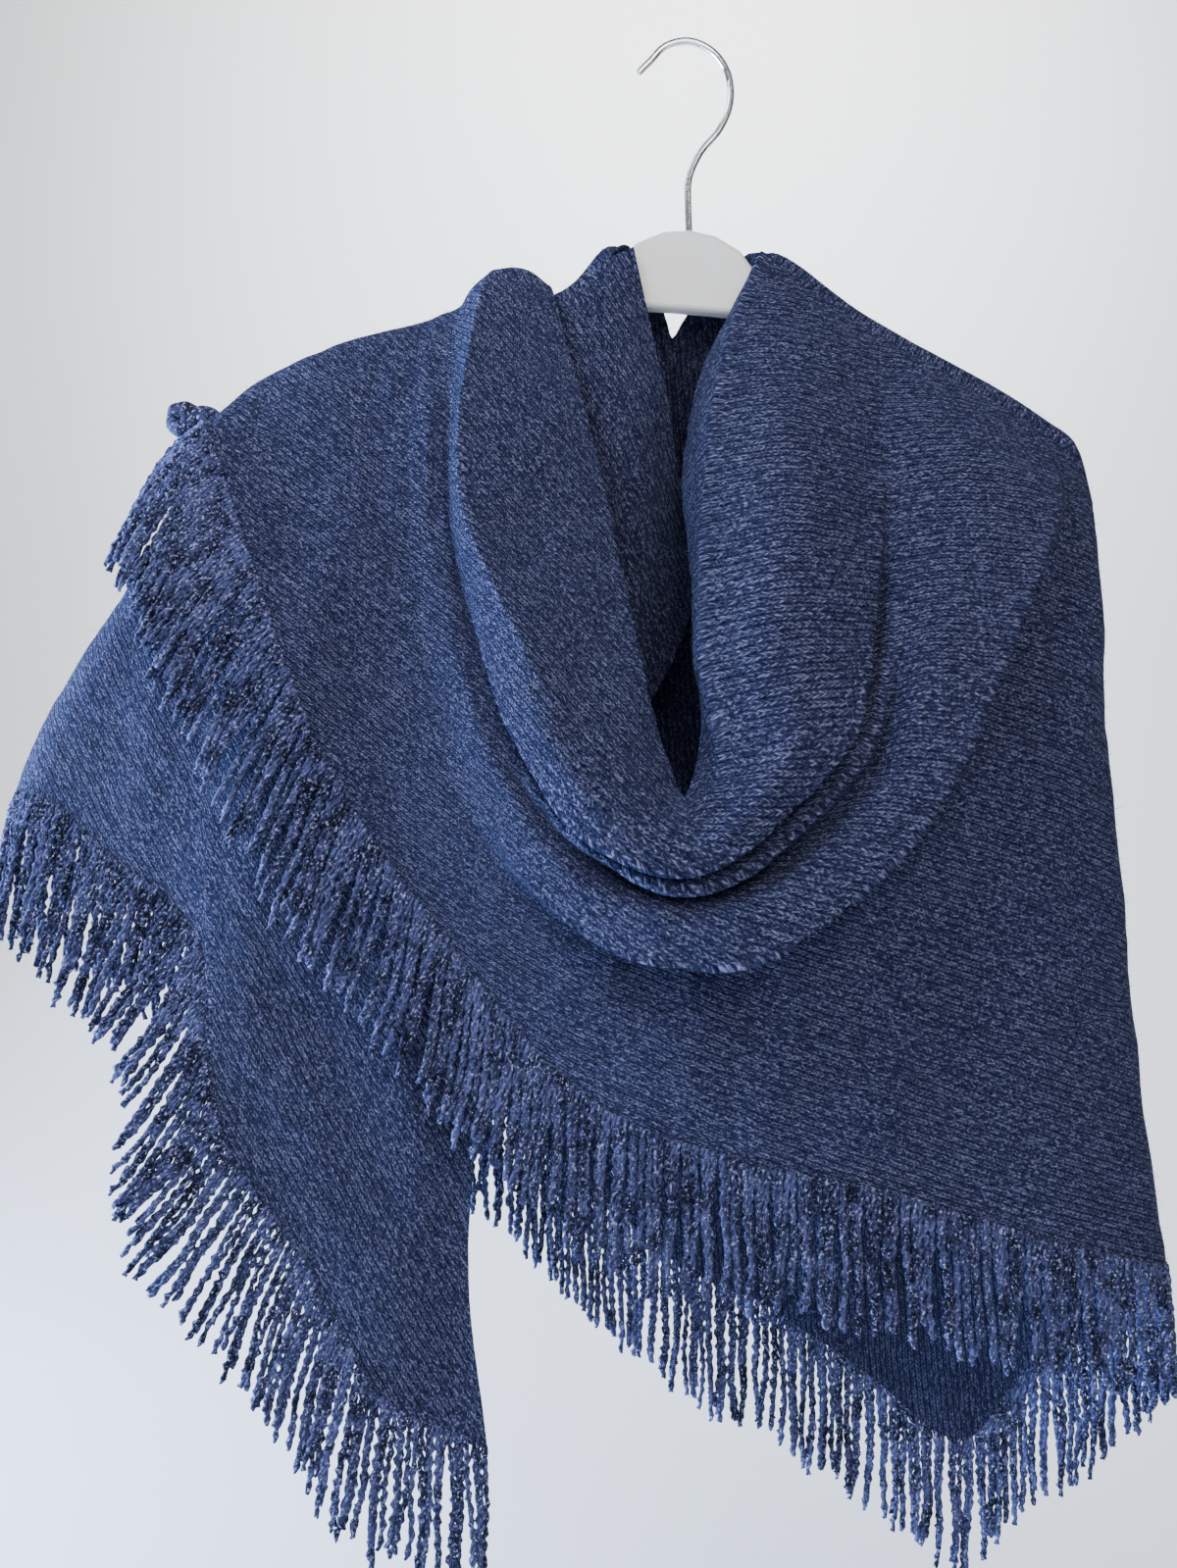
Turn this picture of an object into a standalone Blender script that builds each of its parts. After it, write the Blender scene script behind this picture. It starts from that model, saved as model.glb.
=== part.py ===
"""A knit triangle shawl with a fringe, draped over a plain hanger.

The shawl is one triangle of knit cloth. Its middle lies round the back of the hanger's neck. One half comes
over the left arm and hangs in front as a long tail. The other half comes over the right arm, crosses the front
in deep cowl folds and ends in a knot on the left shoulder. The third corner hangs at the back.

All tables are in millimetres: across (+ to the viewer's right), depth (- to the viewer), height (+ up).
The origin is where the hook bears on what holds it.
"""

import math

import bmesh
import bpy
from mathutils import Matrix, Vector

MM = 0.001
WALL = 2.4             # thickness of the knit cloth
SEAM = 0.75            # how far each stretch stops short of the line it shares with the next
CORNER_SEAM = 1.5      # the same where the two stretches meet round a fold
WRAP_DROP = 1.4        # from the wrap's hem line to the top of its fringe
FRINGE_DROP = 0.6      # the same on the other stretches
SIDE_DROP = 0.95       # the same on the flared side, whose hem turns in a valley
FRINGE_END = 1.6       # how far a stretch of fringe stops short of the next one
FRINGE_THICK = 3.6     # a strand's thickness, and so the thickness of a stretch of fringe

# Each fold of the wrap, from the shawl's clean edge to its hem. The points run from the seam on the right
# shoulder, down across the front, up to the left shoulder's ridge and just behind it: seam, shoulder, chest,
# waist, low, bottom, left low, left waist, left chest, left neck, ridge, behind.
WRAP_FOLDS = {
    "clean edge": ((33, -9, -137), (11, -17, -176), (-1, -22, -230), (2, -50, -310), (4, -74, -379),
                   (-6, -84, -405), (-21, -78, -367), (-31, -64, -312), (-43, -50, -253), (-57, -36, -194),
                   (-73, 0, -132), (-72, 20, -158)),
    "inner face": ((36, -10, -128), (14, -26, -175), (2, -48, -243), (0, -76, -330), (6, -93, -392),
                   (-7, -99, -415), (-36, -94, -382), (-62, -78, -318), (-80, -60, -254), (-86, -42, -188),
                   (-86, 0, -124), (-82, 26, -156)),
    "crest": ((40, -12, -117), (19, -35, -174), (5, -65, -253), (1, -92, -339), (8, -102, -397),
              (-7, -106, -420), (-47, -101, -390), (-88, -86, -318), (-112, -68, -256), (-112, -46, -187),
              (-100, 2, -123), (-93, 32, -150)),
    "roll face": ((66, -10, -138), (54, -46, -194), (45, -76, -263), (40, -98, -330), (39, -110, -386),
                  (-6, -113, -427), (-51, -107, -402), (-90, -84, -338), (-115, -60, -268), (-117, -38, -194),
                  (-109, 0, -130), (-102, 27, -158)),
    "lip 1": ((98, -8, -157), (96, -28, -196), (93, -50, -261), (83, -74, -323), (65, -96, -379),
              (-2, -111, -433), (-55, -104, -416), (-91, -80, -359), (-114, -52, -284), (-120, -32, -200),
              (-116, 0, -141), (-111, 20, -164)),
    "groove 1": ((107, -8, -162), (102, -27, -199), (98, -48, -264), (87, -62, -322), (66, -80, -373),
                 (0, -94, -430), (-53, -88, -412), (-93, -67, -356), (-117, -45, -284), (-123, -30, -201),
                 (-120, 0, -144), (-116, 18, -165)),
    "lip 2": ((116, -8, -167), (109, -29, -203), (104, -52, -267), (94, -71, -330), (73, -89, -386),
              (2, -105, -443), (-54, -97, -425), (-96, -71, -364), (-120, -46, -288), (-126, -31, -204),
              (-124, 0, -146), (-121, 17, -166)),
    "groove 2": ((126, -8, -173), (118, -32, -208), (112, -56, -271), (100, -76, -335), (78, -87, -393),
                 (5, -94, -446), (-52, -87, -429), (-99, -70, -370), (-123, -47, -292), (-129, -32, -207),
                 (-129, 0, -147), (-126, 17, -167)),
    "bulge": ((150, -8, -187), (147, -40, -226), (132, -66, -283), (109, -88, -340), (84, -102, -402),
              (10, -111, -457), (-46, -99, -447), (-99, -77, -386), (-127, -49, -303), (-133, -34, -214),
              (-136, 0, -149), (-133, 20, -166)),
    "lip 3": ((191, -8, -213), (186, -32, -250), (166, -55, -292), (137, -76, -347), (93, -94, -421),
              (20, -99, -473), (-50, -91, -464), (-107, -71, -400), (-135, -49, -322), (-143, -34, -229),
              (-147, -3, -153), (-144, 20, -167)),
    "groove 3": ((200, -8, -221), (192, -30, -260), (170, -49, -301), (139, -64, -354), (93, -79, -425),
                 (20, -82, -471), (-53, -79, -467), (-111, -68, -407), (-139, -49, -325), (-149, -34, -232),
                 (-156, -4, -156), (-152, 20, -169)),
    "fall": ((217, -4, -246), (206, -32, -292), (177, -52, -340), (144, -65, -394), (101, -74, -446),
             (23, -79, -493), (-53, -76, -481), (-115, -67, -419), (-147, -49, -332), (-158, -34, -238),
             (-168, -4, -159), (-166, 21, -172)),
    "chest": ((224, 6, -356), (213, -30, -385), (176, -52, -424), (139, -63, -454), (99, -71, -484),
              (23, -76, -520), (-51, -73, -505), (-122, -65, -436), (-163, -49, -342), (-181, -35, -249),
              (-198, -5, -168), (-195, 22, -180)),
    "low": ((234, 6, -500), (223, -32, -510), (181, -56, -521), (139, -64, -530), (95, -70, -539),
            (23, -74, -551), (-51, -71, -527), (-119, -65, -457), (-171, -53, -365), (-201, -38, -267),
            (-225, -7, -183), (-225, 22, -190)),
    "hem": ((257, 2, -656), (238, -36, -643), (184, -57, -625), (138, -64, -609), (90, -68, -594),
            (24, -70, -579), (-51, -68, -550), (-116, -64, -478), (-180, -58, -388), (-222, -43, -286),
            (-250, -22, -214), (-258, -5, -203)),
}
WRAP_FREE = 3          # the first line that meets the back at the shoulder
WRAP_SPANS = (2, 2, 2, 2, 1, 1, 1, 2, 2, 1, 2, 2, 2, 2)

# Each upright line of the tail, from its clean edge to just behind the flared side's fold. The points run from
# the left shoulder's ridge down to the hem: seam, shoulder, chest, waist, low, last, hem.
TAIL_LINES = {
    "clean edge": ((-27, -9, -113), (-9, -5, -205), (4, 7, -300), (-62, -26, -425), (-98, -34, -522),
                   (-112, -38, -640), (-102, -40, -731)),
    "collar fold": ((-40, -8, -119), (-27, -20, -205), (-47, -28, -300), (-88, -34, -422), (-108, -36, -525),
                    (-118, -38, -640), (-114, -41, -727)),
    "inner": ((-66, -8, -142), (-68, -22, -205), (-88, -30, -300), (-112, -36, -420), (-128, -38, -530),
              (-140, -40, -640), (-150, -41, -710)),
    "middle": ((-115, -8, -161), (-118, -22, -215), (-130, -31, -305), (-148, -37, -415), (-162, -40, -520),
               (-178, -40, -600), (-200, -40, -630)),
    "outer": ((-165, -8, -174), (-170, -20, -225), (-180, -29, -305), (-195, -36, -400), (-208, -38, -480),
              (-220, -38, -540), (-234, -38, -582)),
    "valley": ((-205, -8, -188), (-211, -17, -232), (-220, -25, -300), (-231, -31, -375), (-238, -34, -440),
               (-241, -36, -500), (-241, -38, -550)),
    "turn": ((-220, -8, -195), (-232, -14, -232), (-242, -18, -290), (-250, -23, -350), (-253, -27, -400),
             (-254, -29, -440), (-254, -30, -474)),
    "flare": ((-231, -7, -199), (-250, -8, -238), (-268, -10, -285), (-283, -13, -330), (-292, -16, -370),
              (-297, -19, -405), (-300, -20, -436)),
    "flare front": ((-240, -4, -205), (-262, -4, -240), (-290, -4, -290), (-312, -5, -330), (-328, -6, -360),
                    (-340, -7, -385), (-346, -8, -402)),
    "flare fold": ((-245, 2, -210), (-270, 3, -240), (-300, 5, -292), (-325, 7, -332), (-344, 8, -362),
                   (-357, 9, -388), (-365, 9, -408)),
    "behind": ((-245, 11, -216), (-262, 14, -242), (-290, 20, -296), (-312, 24, -340), (-328, 26, -372),
               (-338, 28, -400), (-342, 29, -420)),
}
TAIL_FREE = 1          # the first line that meets the back at the arm
TAIL_VALLEY = 5        # the line where the tail's own fringe ends and the flared side's begins
TAIL_CORNER = 4        # columns beside the flared side's fold that keep their own place at the top
TAIL_SPANS = (2, 2, 2, 2, 2, 2, 2, 2, 2, 1)

# Each upright line of the back, from the flared side to the seam down the right side. The points run from the
# seam in front of the ridge, over it and down to the hem: seam, ridge, behind, shoulder, waist, low, hem.
BACK_LINES = {
    "flare": ((-236, 8, -203), (-238, 8, -206), (-241, 9, -211), (-262, 14, -242), (-302, 22, -318),
              (-328, 26, -372), (-342, 29, -420)),
    "left end": ((-215, -8, -192), (-215, 0, -182), (-217, 9, -190), (-232, 20, -240), (-262, 30, -320),
                 (-285, 36, -390), (-300, 40, -452)),
    "left arm": ((-160, -8, -173), (-160, 0, -163), (-160, 9, -172), (-165, 24, -250), (-175, 36, -350),
                 (-188, 44, -440), (-200, 48, -520)),
    "left shoulder": ((-105, -8, -158), (-105, 0, -148), (-105, 9, -157), (-106, 25, -250), (-106, 38, -360),
                      (-106, 46, -480), (-108, 52, -575)),
    "left collar": ((-62, -8, -141), (-62, 0, -131), (-62, 9, -140), (-62, 26, -240), (-56, 40, -370),
                    (-48, 50, -510), (-42, 55, -640)),
    "left neck": ((-40, -8, -119), (-40, 0, -109), (-39, 9, -119), (-34, 28, -235), (-22, 42, -375),
                  (-12, 51, -525), (-8, 57, -668)),
    "neck left": ((-30, 9, -104), (-29, 11, -112), (-28, 13, -124), (-20, 30, -240), (-4, 43, -382),
                  (12, 53, -545), (24, 58, -690)),
    "neck": ((-5, 15, -152), (-5, 17, -158), (-4, 20, -170), (2, 32, -250), (20, 44, -390),
             (45, 54, -560), (62, 60, -708)),
    "neck right": ((37, 9, -108), (37, 11, -116), (37, 13, -127), (39, 31, -245), (50, 43, -390),
                   (76, 54, -566), (94, 60, -730)),
    "right neck": ((47, -8, -122), (47, 0, -113), (47, 9, -123), (54, 28, -240), (70, 42, -390),
                   (98, 54, -572), (120, 60, -750)),
    "right collar": ((98, -8, -157), (98, 0, -147), (99, 9, -156), (106, 28, -260), (124, 42, -400),
                     (148, 54, -590), (168, 60, -781)),
    "right arm": ((150, -8, -187), (151, 0, -176), (152, 9, -184), (160, 26, -280), (175, 38, -420),
                  (190, 46, -590), (202, 50, -738)),
    "right end": ((191, -8, -213), (193, 0, -202), (195, 8, -211), (206, 22, -300), (215, 31, -430),
                  (227, 35, -580), (238, 37, -706)),
    "right tip": ((204, -8, -225), (209, 0, -214), (211, 9, -223), (217, 16, -295), (224, 21, -435),
                  (236, 23, -570), (252, 21, -682)),
    "side seam": ((218, -4, -247), (218, -3, -251), (218, -2, -256), (220, 3, -302), (229, 6, -440),
                  (240, 6, -572), (257, 2, -656)),
}
BACK_SPANS = (2, 2, 2, 2, 2, 1, 1, 1, 1, 2, 2, 2, 1, 1)
BACK_LEFT_NECK = 5     # the lines where the ridge's front begins on each side of the neck
BACK_RIGHT_NECK = 9
BACK_POINT = 10        # the line that ends at the shawl's third corner

# How each stretch of fringe hangs from the hem, one row for each line or station that it follows.
WRAP_HANG = ((2, 0, -70), (2, 0, -72), (1, 0, -73), (1, 0, -74), (0, 0, -74), (0, 0, -74),
             (-3, -2, -74), (-12, -4, -71), (-26, -8, -64), (-36, -12, -60), (-37, -16, -60), (-38, -18, -58))
TAIL_HANG = ((4, 0, -74), (2, 0, -74), (-8, -2, -75), (-25, -4, -68), (-44, -5, -56), (-42, -5, -60))
SIDE_HANG = ((-36, -7, -64), (-20, -5, -71), (-13, -3, -73), (-10, 1, -74), (-9, 5, -74))
BACK_LEFT_HANG = ((-9, 6, -74), (-4, 5, -75), (-2, 3, -75), (-1, 2, -75), (0, 2, -75), (0, 2, -75),
                  (0, 2, -75), (0, 2, -75), (0, 1, -75), (0, 1, -75), (0, 0, -75))
BACK_RIGHT_HANG = ((0, 0, -75), (1, 0, -75), (2, 0, -73), (2, 0, -71), (2, 0, -70))

# Hanger
BODY_NECK = (3, -101)          # where the hook enters the body: across, height
BODY_ROLL = 4.5                # degrees that it hangs down to the viewer's right
BODY_THICK = 9.0
BODY_HALF = (                  # half of the body: across, top, bottom, measured from the hook
    (0, 0, -43), (14, -2, -43), (28, -9, -43.5), (40, -23, -45), (60, -39.5, -56), (80, -51, -67),
    (100, -60, -77), (145, -76, -94), (195, -97, -112), (208, -105, -118), (214, -110, -115))
BODY_EDGE = 2.4                # radius of its rounded edges
BODY_EDGE_STEPS = 3
BODY_SHARP = 40                # degrees from which an edge is rounded
HOOK_WIRE = 3.7                # diameter of the wire
HOOK_ROUTE = (                 # across and height of the wire's middle, from the body to the tip
    (3, -100.4), (2.5, -86), (3, -72), (9, -58), (19, -46), (25, -32), (24, -16), (16, -4), (3, 1.9),
    (-10, -1), (-18, -9), (-24, -15))
HOOK_STEPS = 4                 # pieces of wire from one point of the route to the next
HOOK_SIDES = 14

# Knot at the tip of the wrap
KNOT_CENTRE = (-269.6, -7.4, -202)
KNOT_SIZE = (17, 15, 15)
KNOT_TURNS = 3
KNOT_LUMP = 0.07
KNOT_TWIST = 9
KNOT_ROUND = 18
KNOT_RINGS = 11

# How finely each stretch is divided from one station to the next
WRAP_STEPS = 4
TAIL_STEPS = 3
BACK_STEPS = 3
FRINGE_STEPS = (0, 0.5, 1)     # shares of the fringe's length

KNIT = (0.035, 0.048, 0.125, 1)
STRAND = (0.045, 0.07, 0.19, 1)
PLATE_WHITE = (0.78, 0.76, 0.72, 1)
CHROME = (0.75, 0.76, 0.78, 1)


def clear_scene():
    for existing in list(bpy.data.objects):
        bpy.data.objects.remove(existing, do_unlink=True)


def material(name, colour, roughness, metallic=0.0):
    made = bpy.data.materials.new(name)
    made.use_nodes = True
    shader = made.node_tree.nodes["Principled BSDF"]
    shader.inputs["Base Color"].default_value = colour
    shader.inputs["Roughness"].default_value = roughness
    shader.inputs["Metallic"].default_value = metallic
    return made


def put(name, mesh_data, slot):
    placed = bpy.data.objects.new(name, mesh_data)
    bpy.context.scene.collection.objects.link(placed)
    placed.data.materials.append(slot)
    return placed


def spline(points, steps):
    """A smooth curve through the points, with steps[i] pieces between point i and the next."""
    knots = [0.0]
    for before, after in zip(points, points[1:]):
        knots.append(knots[-1] + math.sqrt(max((after - before).length, 0.01)))
    slopes = []
    for i in range(len(points)):
        low = max(i - 1, 0)
        high = min(i + 1, len(points) - 1)
        slope = (points[high] - points[low]) / (knots[high] - knots[low])
        if low < i < high:
            left = (points[i] - points[low]) / (knots[i] - knots[low])
            right = (points[high] - points[i]) / (knots[high] - knots[i])
            share = (knots[i] - knots[low]) / (knots[high] - knots[low])
            slope = left.lerp(right, share)
        slopes.append(slope)
    curve = [points[0].copy()]
    for i in range(len(points) - 1):
        span = knots[i + 1] - knots[i]
        for step in range(1, steps[i] + 1):
            t = step / steps[i]
            hold = (2 * t ** 3 - 3 * t ** 2 + 1) * points[i] + (3 * t ** 2 - 2 * t ** 3) * points[i + 1]
            lean = (t ** 3 - 2 * t ** 2 + t) * slopes[i] + (t ** 3 - t ** 2) * slopes[i + 1]
            curve.append(hold + lean * span)
    return curve


def sheet(lines, along_steps, across_steps):
    """A grid of points through the lines: first along each line, then across from line to line."""
    along = [spline([Vector(point) for point in line], [along_steps] * (len(line) - 1)) for line in lines]
    return [spline([line[k] for line in along], across_steps) for k in range(len(along[0]))]


def nearest_on(line, point):
    """The point of the line, made of straight pieces, that lies nearest to the given one."""
    best = line[0]
    for start, end in zip(line, line[1:]):
        piece = end - start
        share = max(0.0, min(1.0, (point - start).dot(piece) / piece.length_squared))
        found = start + piece * share
        if (found - point).length < (best - point).length:
            best = found
    return best


def pulled_in(grid, first=0.0, left=0.0, right=0.0):
    """The grid with its first row and its side columns moved inwards by the given amounts."""
    rows = [list(row) for row in grid]
    rows[0] = [a + (b - a).normalized() * first for a, b in zip(rows[0], rows[1])]
    for row in rows:
        row[0] = row[0] + (row[1] - row[0]).normalized() * left
        row[-1] = row[-1] + (row[-2] - row[-1]).normalized() * right
    return rows


def wall(name, grid, thick, slot):
    """A closed wall of the given thickness with the grid in its middle."""
    count_rows = len(grid)
    count_columns = len(grid[0])
    normals = []
    for i in range(count_rows):
        row = []
        for j in range(count_columns):
            along = grid[min(i + 1, count_rows - 1)][j] - grid[max(i - 1, 0)][j]
            across = grid[i][min(j + 1, count_columns - 1)] - grid[i][max(j - 1, 0)]
            row.append(along.cross(across).normalized())
        normals.append(row)
    shape = bmesh.new()
    faces = []
    for side in (0.5, -0.5):
        faces.append([[shape.verts.new((grid[i][j] + normals[i][j] * thick * side) * MM)
                       for j in range(count_columns)] for i in range(count_rows)])
    outer, inner = faces
    for i in range(count_rows - 1):
        for j in range(count_columns - 1):
            shape.faces.new((outer[i][j], outer[i + 1][j], outer[i + 1][j + 1], outer[i][j + 1]))
            shape.faces.new((inner[i][j], inner[i][j + 1], inner[i + 1][j + 1], inner[i + 1][j]))
    rim = [(i, 0) for i in range(count_rows)]
    rim += [(count_rows - 1, j) for j in range(1, count_columns)]
    rim += [(i, count_columns - 1) for i in range(count_rows - 2, -1, -1)]
    rim += [(0, j) for j in range(count_columns - 2, 0, -1)]
    for (i, j), (m, n) in zip(rim, rim[1:] + rim[:1]):
        shape.faces.new((outer[i][j], inner[i][j], inner[m][n], outer[m][n]))
    bmesh.ops.recalc_face_normals(shape, faces=shape.faces)
    made = bpy.data.meshes.new(name)
    shape.to_mesh(made)
    shape.free()
    made.shade_smooth()
    return put(name, made, slot)


def fringe(name, hem, before_hem, drop, hangs, steps, slot):
    """A plain wall of the fringe's reach, hanging from just outside the hem line."""
    reach = spline([Vector(hang) for hang in hangs], steps)
    start = []
    for i, (edge, before) in enumerate(zip(hem, before_hem)):
        along = (hem[min(i + 1, len(hem) - 1)] - hem[max(i - 1, 0)]).normalized()
        out = edge - before
        start.append(edge + (out - along * out.dot(along)).normalized() * drop)
    grid = [[root + hang * share for root, hang in zip(start, reach)] for share in FRINGE_STEPS]
    for row in grid:
        row[0] = row[0] + (row[1] - row[0]).normalized() * FRINGE_END
        row[-1] = row[-1] + (row[-2] - row[-1]).normalized() * FRINGE_END
    return wall(name, grid, FRINGE_THICK, slot)


def shawl_wrap(slot, shoulder_seam):
    grid = sheet(list(WRAP_FOLDS.values()), WRAP_STEPS, WRAP_SPANS)
    free = sum(WRAP_SPANS[:WRAP_FREE])
    grid[0] = grid[0][:free] + [nearest_on(shoulder_seam, point) for point in grid[0][free:]]
    hem = [row[-1] for row in grid]
    before = [row[-2] for row in grid]
    wall("shawl_wrap", pulled_in(grid, first=CORNER_SEAM), WALL, slot)
    return hem, before


def shawl_tail(slot, arm_seam, side_seam):
    grid = sheet(list(TAIL_LINES.values()), TAIL_STEPS, TAIL_SPANS)
    free = sum(TAIL_SPANS[:TAIL_FREE])
    on_arm = [nearest_on(arm_seam, point) for point in grid[0][free:-TAIL_CORNER]]
    grid[0] = grid[0][:free] + on_arm + grid[0][-TAIL_CORNER:]
    for row in grid:
        row[-1] = nearest_on(side_seam, row[-1])
    wall("shawl_tail", pulled_in(grid, first=SEAM, right=CORNER_SEAM), WALL, slot)
    return grid[-1], grid[-2]


def shawl_back(slot):
    """The back, and the lines along its ridge's front and its sides that the other stretches meet."""
    grid = sheet(list(BACK_LINES.values()), BACK_STEPS, BACK_SPANS)
    wall("shawl_back", pulled_in(grid, first=SEAM, left=CORNER_SEAM, right=CORNER_SEAM), WALL, slot)
    side = [row[-1] for row in grid]
    left_neck = sum(BACK_SPANS[:BACK_LEFT_NECK])
    right_neck = sum(BACK_SPANS[:BACK_RIGHT_NECK])
    return grid, grid[0][:left_neck + 1], grid[0][right_neck:] + side[1:]


def shawl_tip_knot(slot):
    """A round knot with soft lumps where the yarn turns."""
    shape = bmesh.new()
    bmesh.ops.create_uvsphere(shape, u_segments=KNOT_ROUND, v_segments=KNOT_RINGS, radius=0.5)
    for vertex in shape.verts:
        turn = math.atan2(vertex.co.y, vertex.co.x)
        lump = 1 + KNOT_LUMP * math.sin(KNOT_TURNS * turn + KNOT_TWIST * vertex.co.z)
        vertex.co = Vector([c * lump * size * MM for c, size in zip(vertex.co, KNOT_SIZE)])
        vertex.co += Vector(KNOT_CENTRE) * MM
    made = bpy.data.meshes.new("shawl_tip_knot")
    shape.to_mesh(made)
    shape.free()
    made.shade_smooth()
    put("shawl_tip_knot", made, slot)


def hanger_outline():
    """The body's outline seen from the front, once round, measured from the hook."""
    right_top = [(x, top) for x, top, _ in BODY_HALF]
    right_bottom = [(x, bottom) for x, _, bottom in BODY_HALF]
    left_top = [(-x, top) for x, top in right_top[1:]]
    left_bottom = [(-x, bottom) for x, bottom in right_bottom[1:]]
    return list(reversed(right_top)) + left_top + list(reversed(left_bottom)) + right_bottom


def hanger_body(slot):
    outline = hanger_outline()
    shape = bmesh.new()
    front = -BODY_THICK / 2
    ring = [shape.verts.new(Vector((x, front, z)) * MM) for x, z in outline]
    face = shape.faces.new(ring)
    extruded = bmesh.ops.extrude_face_region(shape, geom=[face])
    moved = [item for item in extruded["geom"] if isinstance(item, bmesh.types.BMVert)]
    bmesh.ops.translate(shape, vec=Vector((0, BODY_THICK, 0)) * MM, verts=moved)
    bmesh.ops.recalc_face_normals(shape, faces=shape.faces)
    roll = Matrix.Rotation(math.radians(BODY_ROLL), 4, "Y")
    bmesh.ops.transform(shape, matrix=roll, verts=shape.verts)
    bmesh.ops.translate(shape, vec=Vector((BODY_NECK[0], 0, BODY_NECK[1])) * MM, verts=shape.verts)
    made = bpy.data.meshes.new("hanger_body")
    shape.to_mesh(made)
    shape.free()
    body = put("hanger_body", made, slot)
    bevel = body.modifiers.new("Rounded edges", "BEVEL")
    bevel.width = BODY_EDGE * MM
    bevel.segments = BODY_EDGE_STEPS
    bevel.limit_method = "ANGLE"
    bevel.angle_limit = math.radians(BODY_SHARP)


def hanger_hook(slot):
    """The wire from the body, over the crown and out at the tip, as a swept round."""
    centres = spline([Vector((x, 0, z)) for x, z in HOOK_ROUTE], [HOOK_STEPS] * (len(HOOK_ROUTE) - 1))
    turns = [2 * math.pi * k / HOOK_SIDES for k in range(HOOK_SIDES)]
    shape = bmesh.new()
    rings = []
    for i, centre in enumerate(centres):
        forward = (centres[min(i + 1, len(centres) - 1)] - centres[max(i - 1, 0)]).normalized()
        across = Vector((0, 1, 0))
        out = forward.cross(across)
        round_wire = [(across * math.cos(a) + out * math.sin(a)) * HOOK_WIRE / 2 for a in turns]
        rings.append([shape.verts.new((centre + radius) * MM) for radius in round_wire])
    for ring, following in zip(rings, rings[1:]):
        for k in range(HOOK_SIDES):
            beside = (k + 1) % HOOK_SIDES
            shape.faces.new((ring[k], ring[beside], following[beside], following[k]))
    shape.faces.new(rings[0])
    shape.faces.new(rings[-1])
    bmesh.ops.recalc_face_normals(shape, faces=shape.faces)
    made = bpy.data.meshes.new("hanger_hook")
    shape.to_mesh(made)
    shape.free()
    made.shade_smooth()
    put("hanger_hook", made, slot)


def main():
    clear_scene()
    knit = material("navy_heather_knit", KNIT, 0.95)
    yarn = material("navy_fringe_yarn", STRAND, 0.95)
    white = material("white_plastic", PLATE_WHITE, 0.35)
    chrome = material("chrome_wire", CHROME, 0.15, 1.0)
    back_grid, arm_seam, shoulder_seam = shawl_back(knit)
    back_hem, back_before = back_grid[-1], back_grid[-2]
    wrap_hem, wrap_before = shawl_wrap(knit, shoulder_seam)
    tail_hem, tail_before = shawl_tail(knit, arm_seam, [row[0] for row in back_grid])
    shawl_tip_knot(knit)
    fringe("fringe_wrap", wrap_hem, wrap_before, WRAP_DROP, WRAP_HANG,
           [WRAP_STEPS] * (len(WRAP_HANG) - 1), yarn)
    valley = sum(TAIL_SPANS[:TAIL_VALLEY])
    fringe("fringe_tail", tail_hem[:valley + 1], tail_before[:valley + 1], FRINGE_DROP, TAIL_HANG,
           TAIL_SPANS[:TAIL_VALLEY], yarn)
    fringe("fringe_side", tail_hem[valley:], tail_before[valley:], SIDE_DROP, (TAIL_HANG[-1], *SIDE_HANG),
           TAIL_SPANS[TAIL_VALLEY:], yarn)
    point = sum(BACK_SPANS[:BACK_POINT])
    fringe("fringe_back_left", back_hem[:point + 1], back_before[:point + 1], FRINGE_DROP, BACK_LEFT_HANG,
           BACK_SPANS[:BACK_POINT], yarn)
    fringe("fringe_back_right", back_hem[point:], back_before[point:], FRINGE_DROP, BACK_RIGHT_HANG,
           BACK_SPANS[BACK_POINT:], yarn)
    hanger_body(white)
    hanger_hook(chrome)


main()
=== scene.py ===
"""The looks of a knit triangle shawl with a fringe, draped over a clothes hanger.

The cloth is one thin knitted shell that follows its three solids: the wrap across the front, the tail over
the left arm and the back. Its tables are in millimetres: across (+ to the viewer's right), depth (- to the
viewer), height (+ up), from the point where the hook bears on what holds it.
"""

import math

import bpy
import numpy as np
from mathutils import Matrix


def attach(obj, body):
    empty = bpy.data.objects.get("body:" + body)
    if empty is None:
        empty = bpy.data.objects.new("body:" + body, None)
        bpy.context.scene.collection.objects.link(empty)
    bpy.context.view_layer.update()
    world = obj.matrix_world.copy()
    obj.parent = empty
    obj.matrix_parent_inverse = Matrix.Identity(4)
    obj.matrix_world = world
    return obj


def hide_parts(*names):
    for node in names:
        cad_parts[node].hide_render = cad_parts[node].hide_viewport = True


bl_info = {
    "name": "Knit triangle shawl",
    "version": (1, 0, 0),
    "blender": (4, 5, 0),
    "location": "View3D > Sidebar > Shawl",
    "description": "Knits the shawl's cloth, fringe and knot round the frame and dresses its hanger",
    "category": "Object",
}

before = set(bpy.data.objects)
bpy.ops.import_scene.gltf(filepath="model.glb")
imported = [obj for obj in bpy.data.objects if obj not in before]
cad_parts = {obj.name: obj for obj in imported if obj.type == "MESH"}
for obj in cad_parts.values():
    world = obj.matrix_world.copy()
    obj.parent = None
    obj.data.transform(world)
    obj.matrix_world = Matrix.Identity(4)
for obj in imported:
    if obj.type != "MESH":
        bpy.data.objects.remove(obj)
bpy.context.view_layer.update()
MM = 0.001

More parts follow.
